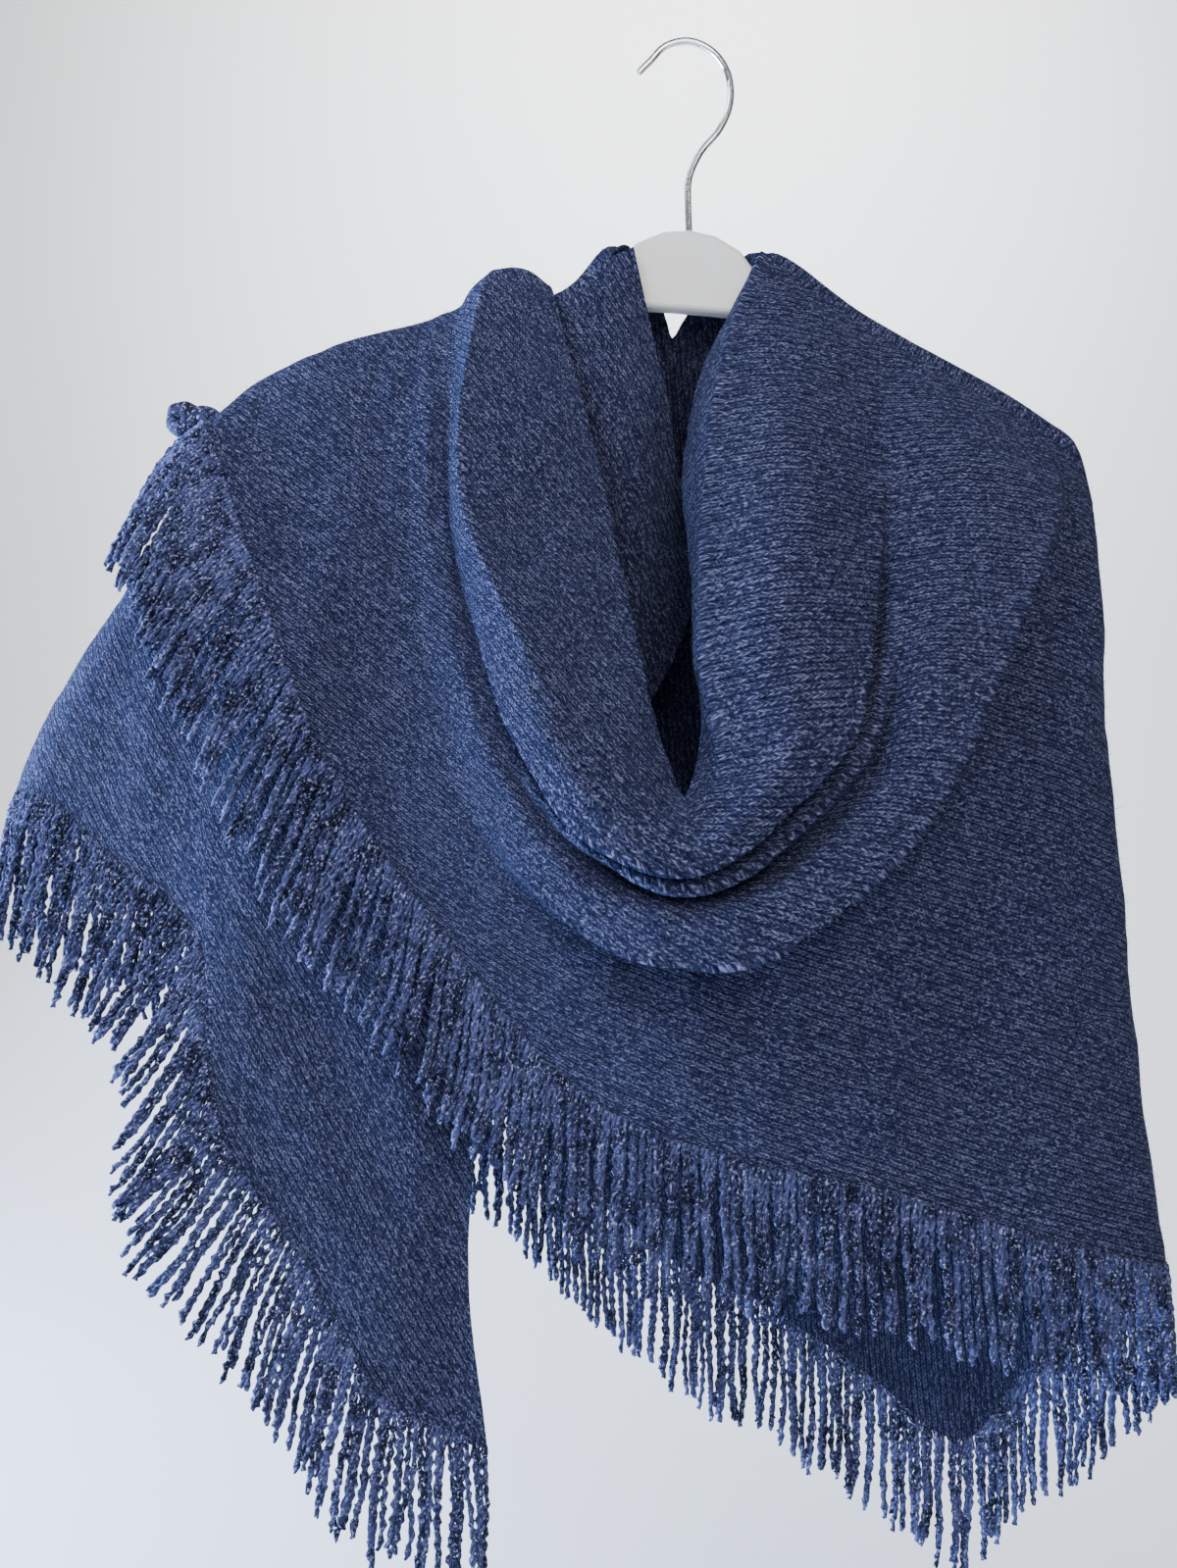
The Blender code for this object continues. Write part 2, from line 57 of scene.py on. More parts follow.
# Each fold of the wrap, from the shawl's clean edge to its hem, at twelve stations: seam, shoulder, chest,
# waist, low, bottom, left low, left waist, left chest, left neck, ridge, behind.
WRAP_FOLDS = {
    "clean edge": ((33, -9, -137), (11, -17, -176), (-1, -22, -230), (2, -50, -310), (4, -74, -379),
                   (-6, -84, -405), (-21, -78, -367), (-31, -64, -312), (-43, -50, -253), (-57, -36, -194),
                   (-73, 0, -132), (-72, 20, -158)),
    "inner face": ((36, -10, -128), (14, -26, -175), (2, -48, -243), (0, -76, -330), (6, -93, -392),
                   (-7, -99, -415), (-36, -94, -382), (-62, -78, -318), (-80, -60, -254), (-86, -42, -188),
                   (-86, 0, -124), (-82, 26, -156)),
    "crest": ((40, -12, -117), (19, -35, -174), (5, -65, -253), (1, -92, -339), (8, -102, -397),
              (-7, -106, -420), (-47, -101, -390), (-88, -86, -318), (-112, -68, -256), (-112, -46, -187),
              (-100, 2, -123), (-93, 32, -150)),
    "roll face": ((66, -10, -138), (54, -46, -194), (45, -76, -263), (40, -98, -330), (39, -110, -386),
                  (-6, -113, -427), (-51, -107, -402), (-90, -84, -338), (-115, -60, -268), (-117, -38, -194),
                  (-109, 0, -130), (-102, 27, -158)),
    "lip 1": ((98, -8, -157), (96, -28, -196), (93, -50, -261), (83, -74, -323), (65, -96, -379),
              (-2, -111, -433), (-55, -104, -416), (-91, -80, -359), (-114, -52, -284), (-120, -32, -200),
              (-116, 0, -141), (-111, 20, -164)),
    "groove 1": ((107, -8, -162), (102, -27, -199), (98, -48, -264), (87, -62, -322), (66, -80, -373),
                 (0, -94, -430), (-53, -88, -412), (-93, -67, -356), (-117, -45, -284), (-123, -30, -201),
                 (-120, 0, -144), (-116, 18, -165)),
    "lip 2": ((116, -8, -167), (109, -29, -203), (104, -52, -267), (94, -71, -330), (73, -89, -386),
              (2, -105, -443), (-54, -97, -425), (-96, -71, -364), (-120, -46, -288), (-126, -31, -204),
              (-124, 0, -146), (-121, 17, -166)),
    "groove 2": ((126, -8, -173), (118, -32, -208), (112, -56, -271), (100, -76, -335), (78, -87, -393),
                 (5, -94, -446), (-52, -87, -429), (-99, -70, -370), (-123, -47, -292), (-129, -32, -207),
                 (-129, 0, -147), (-126, 17, -167)),
    "bulge": ((150, -8, -187), (147, -40, -226), (132, -66, -283), (109, -88, -340), (84, -102, -402),
              (10, -111, -457), (-46, -99, -447), (-99, -77, -386), (-127, -49, -303), (-133, -34, -214),
              (-136, 0, -149), (-133, 20, -166)),
    "lip 3": ((191, -8, -213), (186, -32, -250), (166, -55, -292), (137, -76, -347), (93, -94, -421),
              (20, -99, -473), (-50, -91, -464), (-107, -71, -400), (-135, -49, -322), (-143, -34, -229),
              (-147, -3, -153), (-144, 20, -167)),
    "groove 3": ((200, -8, -221), (192, -30, -260), (170, -49, -301), (139, -64, -354), (93, -79, -425),
                 (20, -82, -471), (-53, -79, -467), (-111, -68, -407), (-139, -49, -325), (-149, -34, -232),
                 (-156, -4, -156), (-152, 20, -169)),
    "fall": ((217, -4, -246), (206, -32, -292), (177, -52, -340), (144, -65, -394), (101, -74, -446),
             (23, -79, -493), (-53, -76, -481), (-115, -67, -419), (-147, -49, -332), (-158, -34, -238),
             (-168, -4, -159), (-166, 21, -172)),
    "chest": ((224, 6, -356), (213, -30, -385), (176, -52, -424), (139, -63, -454), (99, -71, -484),
              (23, -76, -520), (-51, -73, -505), (-122, -65, -436), (-163, -49, -342), (-181, -35, -249),
              (-198, -5, -168), (-195, 22, -180)),
    "low": ((234, 6, -500), (223, -32, -510), (181, -56, -521), (139, -64, -530), (95, -70, -539),
            (23, -74, -551), (-51, -71, -527), (-119, -65, -457), (-171, -53, -365), (-201, -38, -267),
            (-225, -7, -183), (-225, 22, -190)),
    "hem": ((257, 2, -656), (238, -36, -643), (184, -57, -625), (138, -64, -609), (90, -68, -594),
            (24, -70, -579), (-51, -68, -550), (-116, -64, -478), (-180, -58, -388), (-222, -43, -286),
            (-250, -22, -214), (-258, -5, -203)),
}
WRAP_FREE = 3          # the first line that meets the back at the shoulder

# How much deeper the knit falls into its folds than the plain lines: mm in depth and height, and the share
# of it at each station.
LIPS_SHARE = (0, 0, 0, 0.3, 0.8, 1, 1, 0.8, 0.15, 0, 0, 0)
RIPPLE_SHARE = (0, 0, 0, 0.3, 0.8, 1, -0.3, -0.6, 0, 0, 0, 0)
SWAG_SHARE = (0, 0.6, 1, 1, 1, 1, 0.6, 0, 0, 0, 0, 0)
WRAP_DEEPER = {
    "lip 1": (-3, -3, LIPS_SHARE),
    "groove 1": (4, 2, LIPS_SHARE),
    "lip 2": (-4, -2, RIPPLE_SHARE),
    "groove 2": (5, 2, RIPPLE_SHARE),
    "bulge": (3, 0, SWAG_SHARE),
    "lip 3": (-10, -5, SWAG_SHARE),
    "groove 3": (5, 4, SWAG_SHARE),
    "fall": (4, 0, SWAG_SHARE),
}
WRAP_TIGHT = {"crest": 0.16, "lip 1": 0.14, "lip 3": 0.1}   # folds that turn tightly, and how close
WRAP_ALONG = 16        # steps from one station to the next
WRAP_ACROSS = (8, 12, 14, 12, 6, 5, 6, 10, 14, 5, 9, 16, 18, 12)   # steps from one fold line to the next

# Each upright line of the tail, from its clean edge to just behind the flared side's fold, at seven
# stations: seam, shoulder, chest, waist, low, last, hem.
TAIL_LINES = {
    "clean edge": ((-27, -9, -113), (-9, -5, -205), (4, 7, -300), (-62, -26, -425), (-98, -34, -522),
                   (-112, -38, -640), (-102, -40, -731)),
    "collar fold": ((-40, -8, -119), (-27, -20, -205), (-47, -28, -300), (-88, -34, -422), (-108, -36, -525),
                    (-118, -38, -640), (-114, -41, -727)),
    "inner": ((-66, -8, -142), (-68, -22, -205), (-88, -30, -300), (-112, -36, -420), (-128, -38, -530),
              (-140, -40, -640), (-150, -41, -710)),
    "middle": ((-115, -8, -161), (-118, -22, -215), (-130, -31, -305), (-148, -37, -415), (-162, -40, -520),
               (-178, -40, -600), (-200, -40, -630)),
    "outer": ((-165, -8, -174), (-170, -20, -225), (-180, -29, -305), (-195, -36, -400), (-208, -38, -480),
              (-220, -38, -540), (-234, -38, -582)),
    "valley": ((-205, -8, -188), (-211, -17, -232), (-220, -25, -300), (-231, -31, -375), (-238, -34, -440),
               (-241, -36, -500), (-241, -38, -550)),
    "turn": ((-220, -8, -195), (-232, -14, -232), (-242, -18, -290), (-250, -23, -350), (-253, -27, -400),
             (-254, -29, -440), (-254, -30, -474)),
    "flare": ((-231, -7, -199), (-250, -8, -238), (-268, -10, -285), (-283, -13, -330), (-292, -16, -370),
              (-297, -19, -405), (-300, -20, -436)),
    "flare front": ((-240, -4, -205), (-262, -4, -240), (-290, -4, -290), (-312, -5, -330), (-328, -6, -360),
                    (-340, -7, -385), (-346, -8, -402)),
    "flare fold": ((-245, 2, -210), (-270, 3, -240), (-300, 5, -292), (-325, 7, -332), (-344, 8, -362),
                   (-357, 9, -388), (-365, 9, -408)),
    "behind": ((-245, 11, -216), (-262, 14, -242), (-290, 20, -296), (-312, 24, -340), (-328, 26, -372),
               (-338, 28, -400), (-342, 29, -420)),
}
TAIL_FREE = 1          # the first line that meets the back at the arm
TAIL_CORNER = 2        # spans beside the flared side's fold that keep their own place at the top
TAIL_VALLEY = 5        # the line where the tail's own fringe ends and the flared side's begins
TAIL_ALONG = 20
TAIL_ACROSS = (5, 9, 12, 12, 10, 6, 10, 10, 6, 6)

# Each upright line of the back, from the flared side to the seam down the right side, at seven stations:
# seam, ridge, behind, shoulder, waist, low, hem.
BACK_LINES = {
    "flare": ((-236, 8, -203), (-238, 8, -206), (-241, 9, -211), (-262, 14, -242), (-302, 22, -318),
              (-328, 26, -372), (-342, 29, -420)),
    "left end": ((-215, -8, -192), (-215, 0, -182), (-217, 9, -190), (-232, 20, -240), (-262, 30, -320),
                 (-285, 36, -390), (-300, 40, -452)),
    "left arm": ((-160, -8, -173), (-160, 0, -163), (-160, 9, -172), (-165, 24, -250), (-175, 36, -350),
                 (-188, 44, -440), (-200, 48, -520)),
    "left shoulder": ((-105, -8, -158), (-105, 0, -148), (-105, 9, -157), (-106, 25, -250), (-106, 38, -360),
                      (-106, 46, -480), (-108, 52, -575)),
    "left collar": ((-62, -8, -141), (-62, 0, -131), (-62, 9, -140), (-62, 26, -240), (-56, 40, -370),
                    (-48, 50, -510), (-42, 55, -640)),
    "left neck": ((-40, -8, -119), (-40, 0, -109), (-39, 9, -119), (-34, 28, -235), (-22, 42, -375),
                  (-12, 51, -525), (-8, 57, -668)),
    "neck left": ((-30, 9, -104), (-29, 11, -112), (-28, 13, -124), (-20, 30, -240), (-4, 43, -382),
                  (12, 53, -545), (24, 58, -690)),
    "slit left": ((-10, 13, -139), (-10, 15, -146), (-9, 18, -158), (-4, 31, -246), (13, 44, -386),
                  (38, 54, -556), (53, 59, -702)),
    "neck": ((-5, 15, -152), (-5, 17, -158), (-4, 20, -170), (2, 32, -250), (20, 44, -390),
             (45, 54, -560), (62, 60, -708)),
    "slit right": ((4, 13, -139), (4, 15, -146), (4, 18, -158), (10, 32, -248), (27, 44, -390),
                   (52, 54, -561), (70, 60, -714)),
    "neck right": ((37, 9, -108), (37, 11, -116), (37, 13, -127), (39, 31, -245), (50, 43, -390),
                   (76, 54, -566), (94, 60, -730)),
    "right neck": ((47, -8, -122), (47, 0, -113), (47, 9, -123), (54, 28, -240), (70, 42, -390),
                   (98, 54, -572), (120, 60, -750)),
    "right collar": ((98, -8, -157), (98, 0, -147), (99, 9, -156), (106, 28, -260), (124, 42, -400),
                     (148, 54, -590), (168, 60, -781)),
    "right arm": ((150, -8, -187), (151, 0, -176), (152, 9, -184), (160, 26, -280), (175, 38, -420),
                  (190, 46, -590), (202, 50, -738)),
    "right end": ((191, -8, -213), (193, 0, -202), (195, 8, -211), (206, 22, -300), (215, 31, -430),
                  (227, 35, -580), (238, 37, -706)),
    "right tip": ((204, -8, -225), (209, 0, -214), (211, 9, -223), (217, 16, -295), (224, 21, -435),
                  (236, 23, -570), (252, 21, -682)),
    "side seam": ((218, -4, -247), (218, -3, -251), (218, -2, -256), (220, 3, -302), (229, 6, -440),
                  (240, 6, -572), (257, 2, -656)),
}
BACK_LEFT_NECK = 5     # the lines where the ridge's front begins on each side of the neck
BACK_RIGHT_NECK = 11
BACK_POINT = 12        # the line that ends at the shawl's third corner
BACK_ALONG = (3, 3, 14, 22, 24, 24)
BACK_ACROSS = (12, 12, 12, 10, 6, 4, 5, 3, 3, 7, 4, 11, 11, 8, 5, 5)

# How each stretch of fringe hangs from the hem, one row for each line or station that it follows.
WRAP_HANG = ((2, 0, -58), (2, 0, -60), (1, 0, -61), (1, 0, -62), (0, 0, -63), (0, 0, -65),
             (-3, -2, -68), (-12, -4, -68), (-26, -8, -64), (-36, -12, -63), (-37, -15, -70), (-38, -17, -76))
TAIL_HANG = ((4, 0, -74), (2, 0, -74), (-8, -2, -75), (-25, -4, -68), (-44, -5, -56), (-42, -5, -60))
SIDE_HANG = ((-36, -7, -64), (-20, -5, -71), (-13, -3, -73), (-10, 1, -74), (-9, 5, -74))
BACK_LEFT_HANG = ((-9, 6, -74), (-4, 5, -75), (-2, 3, -75), (-1, 2, -75), *[(0, 2, -75)] * 6,
                  (0, 1, -75), (0, 1, -75), (0, 0, -75))
BACK_RIGHT_HANG = ((0, 0, -75), (1, 0, -75), (2, 0, -73), (2, 0, -71), (2, 0, -70))

# Soft troughs (+ depth) and ridges (- depth) of each stretch, drawn on its face:
# from across, from height, to across, to height, half width, depth.
WRAP_CREASES = (
    (-150, -200, -118, -420, 16, 1.6),
    (-190, -215, -165, -400, 20, -1.5),
    (-205, -250, -60, -520, 22, 1.2),
    (-150, -350, 10, -560, 26, -1.4),
    (205, -260, 196, -560, 15, 1.6),
    (180, -300, 168, -600, 20, -1.6),
    (150, -370, 120, -600, 22, 1.5),
    (110, -450, 70, -590, 20, -1.1),
    (225, -330, 236, -640, 12, -1.2),
    (60, -520, 20, -575, 18, 0.9),
)
TAIL_CREASES = (
    (-190, -230, -170, -560, 14, 1.8),
    (-150, -260, -135, -640, 18, -2.0),
    (-215, -260, -215, -560, 12, -1.4),
    (-120, -420, -118, -700, 12, 1.4),
    (-280, -240, -305, -400, 12, 1.2),
)
BACK_CREASES = (
    (-230, -200, -240, -430, 18, 4.2),
    (-160, -190, -140, -520, 22, -5.2),
    (-90, -180, -60, -600, 26, 5.6),
    (-20, -180, 40, -680, 24, -4.4),
    (60, -170, 110, -720, 24, 6.4),
    (130, -200, 170, -740, 22, -5.4),
    (190, -240, 215, -690, 18, 4.0),
    (-200, -330, -60, -560, 26, 3.6),
    (150, -400, 60, -700, 26, -3.2),
)

# Soft relief of the whole cloth in mm: size of its broad and small hills and height of the small ones. Then
# how many steps from a seam it takes to reach full height, along and across.
HILLS = 55
SMALL_HILLS = 14
SMALL_HILL_HEIGHT = 0.35
CALM_ALONG = 14
CALM_ACROSS = 10
FLARE_PULL = 6         # columns of the tail that bend to meet the back at the flared side
MATCHED_ROWS = 4       # rows beside a seam whose normals turn towards the back's

# The flat patterns of the wrap, the tail and the back: how many rows and columns apart the points are that
# are laid out, then a row, a column and the way in which the wales run there.
WALES = (
    (5, 3, 8 * WRAP_ALONG, -30, (0.78, 0, -0.62)),
    (5, 3, 60, 30, (0.5, 0, -0.87)),
    (6, 3, 50, 50, (0.1, 0, -1)),
)
WALE_SAMPLE = 3        # rows or columns to each side over which a direction is measured
PATTERN_GAP = 3000     # mm from one flat pattern to the next, so that no two share their stitches

# Loose fibres of the cloth, in mm.
NAP_OUTSIDE = 0.72     # share of them that stand on the outer side
NAP_ROOT = 0.45        # how far a root lies from the cloth's middle, as a share of its thickness
NAP_LEAST = 1.0        # length of the shortest
NAP_HALF_WIDTH = 0.09
NAP_BRIGHTER = 2.0     # how much brighter than the knit's usual yarn

# Strands of the fringe, in mm.
# How much lighter the fringe yarn's colour is than the knit's usual yarn: painted light, standing in for the
# light that the thin, loose strands let through and scatter.
FRINGE_BRIGHTER = 3.0
STRAND_STEPS = 32
PLY_SIDES = 4
HAIRS_PER_STRAND = 54
HAIR_LENGTH = (1.6, 3.4)
HAIR_HALF_WIDTH = 0.1
TUFT_SIZES = (1, 2, 2, 3)   # how many strands cling together, each as likely as the next
TUFT_GATHER = (0.6, 0.95)   # how far a strand moves to the middle of its tuft
HEM_REACH = 3.0        # how far above the hem's edge a strand is tied in
BEND_AT = 0.22         # how far out and down the strand bends, as a share of its length
TWIST = (11, 17)       # mm for one turn of the two plies round each other
CORNER_SPACING = 0.75  # closer strands form the dense lock below the knot
CORNER_STATIONS = 2    # stations of the wrap's hem that the lock takes up

KNOT_BRIGHTER = 1.8
KNOT_CENTRE = (-266, -8, -204)
KNOT_NECK = ((-247, -8, -208), (-256, -9, -203))    # the yarn's way from the cloth to the curl
KNOT_TURNS = 1.35
KNOT_RADII = ((0, 6.8), (12, 6.2), (26, 4.8))       # the yarn's radius at some of its path's points
KNOT_LAST_RADIUS = 4.3

# The stage in metres: its floor, the cove and the wall behind, then the camera, whose lens and sensor are in
# mm, and the even light from all round.
FLOOR_FRONT = -3.0
FLOOR_HALF_WIDTH = 4.0
COVE_START = 0.9
COVE_RADIUS = 1.3
WALL_TOP = 2.6
CAMERA_PLACE = (-0.051, -0.633, -0.397)
CAMERA_LENS = 27.06
CAMERA_SENSOR = 36
WORLD_COLOUR = (0.86, 0.90, 0.95, 1)
WORLD_STRENGTH = 0.14
# Each lamp: the setting that holds its power, its size, its place, the point that it faces, its colour.
LAMPS = (
    ("window", 0.8, (-0.8, -0.62, 0.85), (0.0, 0.0, -0.42), (0.70, 0.80, 1.0)),
    ("side", 0.9, (-1.5, 0.14, -0.5), (0.0, 0.0, -0.5), (0.42, 0.60, 1.0)),
    ("fill", 1.4, (0.25, -2.0, 0.75), (0.0, 0.0, -0.4), (1.0, 0.97, 0.93)),
    ("wash", 1.6, (0.2, 0.75, 1.5), (0.1, 2.2, 0.85), (1.0, 0.99, 0.97)),
)

SHEEN_TINT = (0.34, 0.5, 1.0, 1)
RNG_SEED = 11
FULL_TURN = 2 * math.pi
ALONG = 2              # where hem_path's list holds the hem's direction


def unit(vectors):
    """The vectors, each made one long."""
    return vectors / np.linalg.norm(vectors, axis=-1, keepdims=True)


def cells(number):
    """The four corners of each cell in a grid of point numbers."""
    corners = [number[:-1, :-1], number[1:, :-1], number[1:, 1:], number[:-1, 1:]]
    return np.stack(corners, axis=-1).reshape(-1, 4)


def tube_cells(number):
    """The four corners of each cell of tubes of point numbers, whose last axis runs round the tube."""
    beside = np.roll(number, -1, axis=-1)
    corners = [number[..., :-1, :], beside[..., :-1, :], beside[..., 1:, :], number[..., 1:, :]]
    return np.stack(corners, axis=-1).reshape(-1, 4)


def spline(points, steps):
    """A smooth curve through the points, with steps[i] pieces between point i and the next."""
    points = np.asarray(points, float)
    gaps = np.sqrt(np.maximum(np.linalg.norm(np.diff(points[:, :3], axis=0), axis=1), 0.01))
    knots = np.concatenate([[0.0], np.cumsum(gaps)])
    last = len(points) - 1
    slopes = []
    for i in range(last + 1):
        low, high = max(i - 1, 0), min(i + 1, last)
        slope = (points[high] - points[low]) / (knots[high] - knots[low])
        if low < i < high:
            left = (points[i] - points[low]) / (knots[i] - knots[low])
            right = (points[high] - points[i]) / (knots[high] - knots[i])
            share = (knots[i] - knots[low]) / (knots[high] - knots[low])
            slope = left * (1 - share) + right * share
        slopes.append(slope)
    curve = [points[:1]]
    for i in range(last):
        t = (np.arange(1, steps[i] + 1) / steps[i])[:, None]
        hold = (2 * t ** 3 - 3 * t ** 2 + 1) * points[i] + (3 * t ** 2 - 2 * t ** 3) * points[i + 1]
        lean = (t ** 3 - 2 * t ** 2 + t) * slopes[i] + (t ** 3 - t ** 2) * slopes[i + 1]
        curve.append(hold + lean * (knots[i + 1] - knots[i]))
    return np.concatenate(curve)


def sheet(lines, along, across):
    """A grid of points through the lines: first along each line, then across from line to line."""
    if isinstance(along, int):
        along = [along] * (len(lines[0]) - 1)
    runs = [spline(line, along) for line in lines]
    return np.array([spline([run[k] for run in runs], across) for k in range(len(runs[0]))])


def nearest_on(line, points):
    """For each point, the nearest place on the line, which is made of straight pieces."""
    starts, pieces = line[:-1], np.diff(line, axis=0)
    share = ((points[:, None] - starts) * pieces).sum(2) / (pieces ** 2).sum(1)
    found = starts + pieces * np.clip(share, 0, 1)[..., None]
    best = ((found - points[:, None]) ** 2).sum(2).argmin(1)
    return found[np.arange(len(points)), best]


def pull(grid, axis, target, reach):
    """Moves the grid's first row (axis 0) or last column (axis 1) to the target, the next ones less."""
    edge = grid[0] if axis == 0 else grid[:, -1]
    move = target - edge
    fade = np.clip(1 - np.arange(reach) / reach, 0, 1) ** 2
    for k, share in enumerate(fade):
        if axis == 0:
            grid[k] += move * share
        else:
            grid[:, -1 - k] += move * share


def normals_of(grid, sign):
    """The normal at each point of the grid, on the side that the sign picks."""
    along = np.gradient(grid, axis=0)
    across = np.gradient(grid, axis=1)
    normal = np.cross(along, across)
    return sign * normal / np.maximum(np.linalg.norm(normal, axis=2, keepdims=True), 1e-9)


def smooth_noise(points, size, seed):
    """Soft noise, mostly from -1 to 1, with hills about the given size across, from crossed waves."""
    rng = np.random.default_rng(seed)
    total = np.zeros(points.shape[:-1])
    waves = 26
    for _ in range(waves):
        direction = rng.normal(size=3)
        direction /= np.linalg.norm(direction)
        length = size * rng.uniform(0.8, 2.4)
        total += np.sin(points @ direction * (FULL_TURN / length) + rng.uniform(0, FULL_TURN))
    return total / math.sqrt(waves)


def crease_depth(grid, creases):
    """How far each point sinks in the creases, which fade out towards both of their ends."""
    depth = np.zeros(grid.shape[:2])
    flat = grid[..., [0, 2]]
    for x0, z0, x1, z1, half, deep in creases:
        start, run = np.array([x0, z0]), np.array([x1 - x0, z1 - z0])
        length = np.linalg.norm(run)
        share = ((flat - start) @ run) / length ** 2
        bend = np.sin(share * math.pi * 1.3 + x0) * half * 0.5
        off = np.abs((flat - start) @ np.array([-run[1], run[0]]) / length + bend)
        ends = np.clip(np.sin(np.clip(share, 0, 1) * math.pi), 0, 1) ** 0.7
        depth += deep * np.exp(-(off / half) ** 2) * ends
    return depth


def wrap_lines():
    """The wrap's lines with one more close to each side of the tight folds, and the steps between them."""
    lines = [np.array(line, float) for line in WRAP_FOLDS.values()]
    for line, name in zip(lines, WRAP_FOLDS):
        depth, height, share = WRAP_DEEPER.get(name, (0, 0, LIPS_SHARE))
        line += np.outer(share, (0, depth, height))
    placed = list(enumerate(lines))
    for k, name in enumerate(WRAP_FOLDS):
        share = WRAP_TIGHT.get(name)
        if share:
            placed.append((k - share, lines[k] * (1 - share) + lines[k - 1] * share))
            placed.append((k + share, lines[k] * (1 - share) + lines[k + 1] * share))
    placed.sort(key=lambda pair: pair[0])
    at = [pair[0] for pair in placed]
    steps = [max(2, round(WRAP_ACROSS[int(low)] * (high - low))) for low, high in zip(at, at[1:])]
    free = sum(step for step, low in zip(steps, at) if low < WRAP_FREE)
    return [pair[1] for pair in placed], steps, free


def build_grids():
    """The middle of the cloth in its three stretches."""
    back = sheet(list(BACK_LINES.values()), BACK_ALONG, BACK_ACROSS)
    lines, steps, _ = wrap_lines()
    wrap = sheet(lines, WRAP_ALONG, steps)
    tail = sheet(list(TAIL_LINES.values()), TAIL_ALONG, TAIL_ACROSS)
    return wrap, tail, back


def seam_lines(back):
    """The back's edges that the others meet: the left arm, the right shoulder and the flared side."""
    left_neck = sum(BACK_ACROSS[:BACK_LEFT_NECK])
    right_neck = sum(BACK_ACROSS[:BACK_RIGHT_NECK])
    shoulder = np.concatenate([back[0, right_neck:], back[1:, -1]])
    return back[0, :left_neck + 1], shoulder, back[:, 0]


def joined_grids():
    """The three stretches with their relief, meeting on the same lines."""
    wrap, tail, back = build_grids()
    relief = (
        (wrap, 1, WRAP_CREASES, 1.0, 3), (tail, -1, TAIL_CREASES, 1.4, 4), (back, -1, BACK_CREASES, 2.0, 5))
    for grid, sign, creases, swell, seed in relief:
        lift = swell * smooth_noise(grid, HILLS, seed)
        lift += SMALL_HILL_HEIGHT * smooth_noise(grid, SMALL_HILLS, seed + 20)
        lift -= crease_depth(grid, creases)
        rows, columns = grid.shape[:2]
        near = np.minimum(np.arange(rows)[:, None] / CALM_ALONG, 1) * np.ones((1, columns))
        side = np.arange(columns)[None, :]
        near = near * np.minimum((columns - 1 - side) / CALM_ACROSS + (sign > 0), 1)
        if sign < 0:
            near = near * np.minimum(side / CALM_ACROSS + (creases is TAIL_CREASES), 1)
        grid += normals_of(grid, sign) * (lift * near)[..., None]
    arm, shoulder, flare = seam_lines(back)
    free = wrap_lines()[2]
    target = wrap[0].copy()
    target[free:] = nearest_on(shoulder, wrap[0, free:])
    pull(wrap, 0, target, WRAP_ALONG)
    free = sum(TAIL_ACROSS[:TAIL_FREE])
    corner = sum(TAIL_ACROSS[-TAIL_CORNER:])
    target = tail[0].copy()
    target[free:-corner] = nearest_on(arm, tail[0, free:-corner])
    pull(tail, 0, target, TAIL_ALONG)
    pull(tail, 1, nearest_on(flare, tail[:, -1]), FLARE_PULL)
    return wrap, tail, back


def matched_normals(wrap, tail, back):
    """Outward normals of the three stretches, the same on both sides of each seam."""
    out = [normals_of(wrap, 1), normals_of(tail, -1), normals_of(back, -1)]
    whole = back.reshape(-1, 3)
    whole_normals = out[2].reshape(-1, 3)

    def from_back(points):
        found = ((points[:, None] - whole[None]) ** 2).sum(2).argmin(1)
        return whole_normals[found]

    for normals, grid, first in ((out[0], wrap, wrap_lines()[2]),
                                 (out[1], tail, sum(TAIL_ACROSS[:TAIL_FREE]))):
        target = normals[0].copy()
        target[first:] = from_back(grid[0, first:])
        for k in range(MATCHED_ROWS):
            share = 1 - k / MATCHED_ROWS
            normals[k] = normals[k] * (1 - share) + target * share
    out[1][:, -1] = from_back(tail[:, -1])
    return [unit(normals) for normals in out]


def steps_length(grid):
    """The length of all the steps from point to point of the grid, both ways."""
    return sum(np.linalg.norm(np.diff(grid, axis=axis), axis=2).sum() for axis in (0, 1))


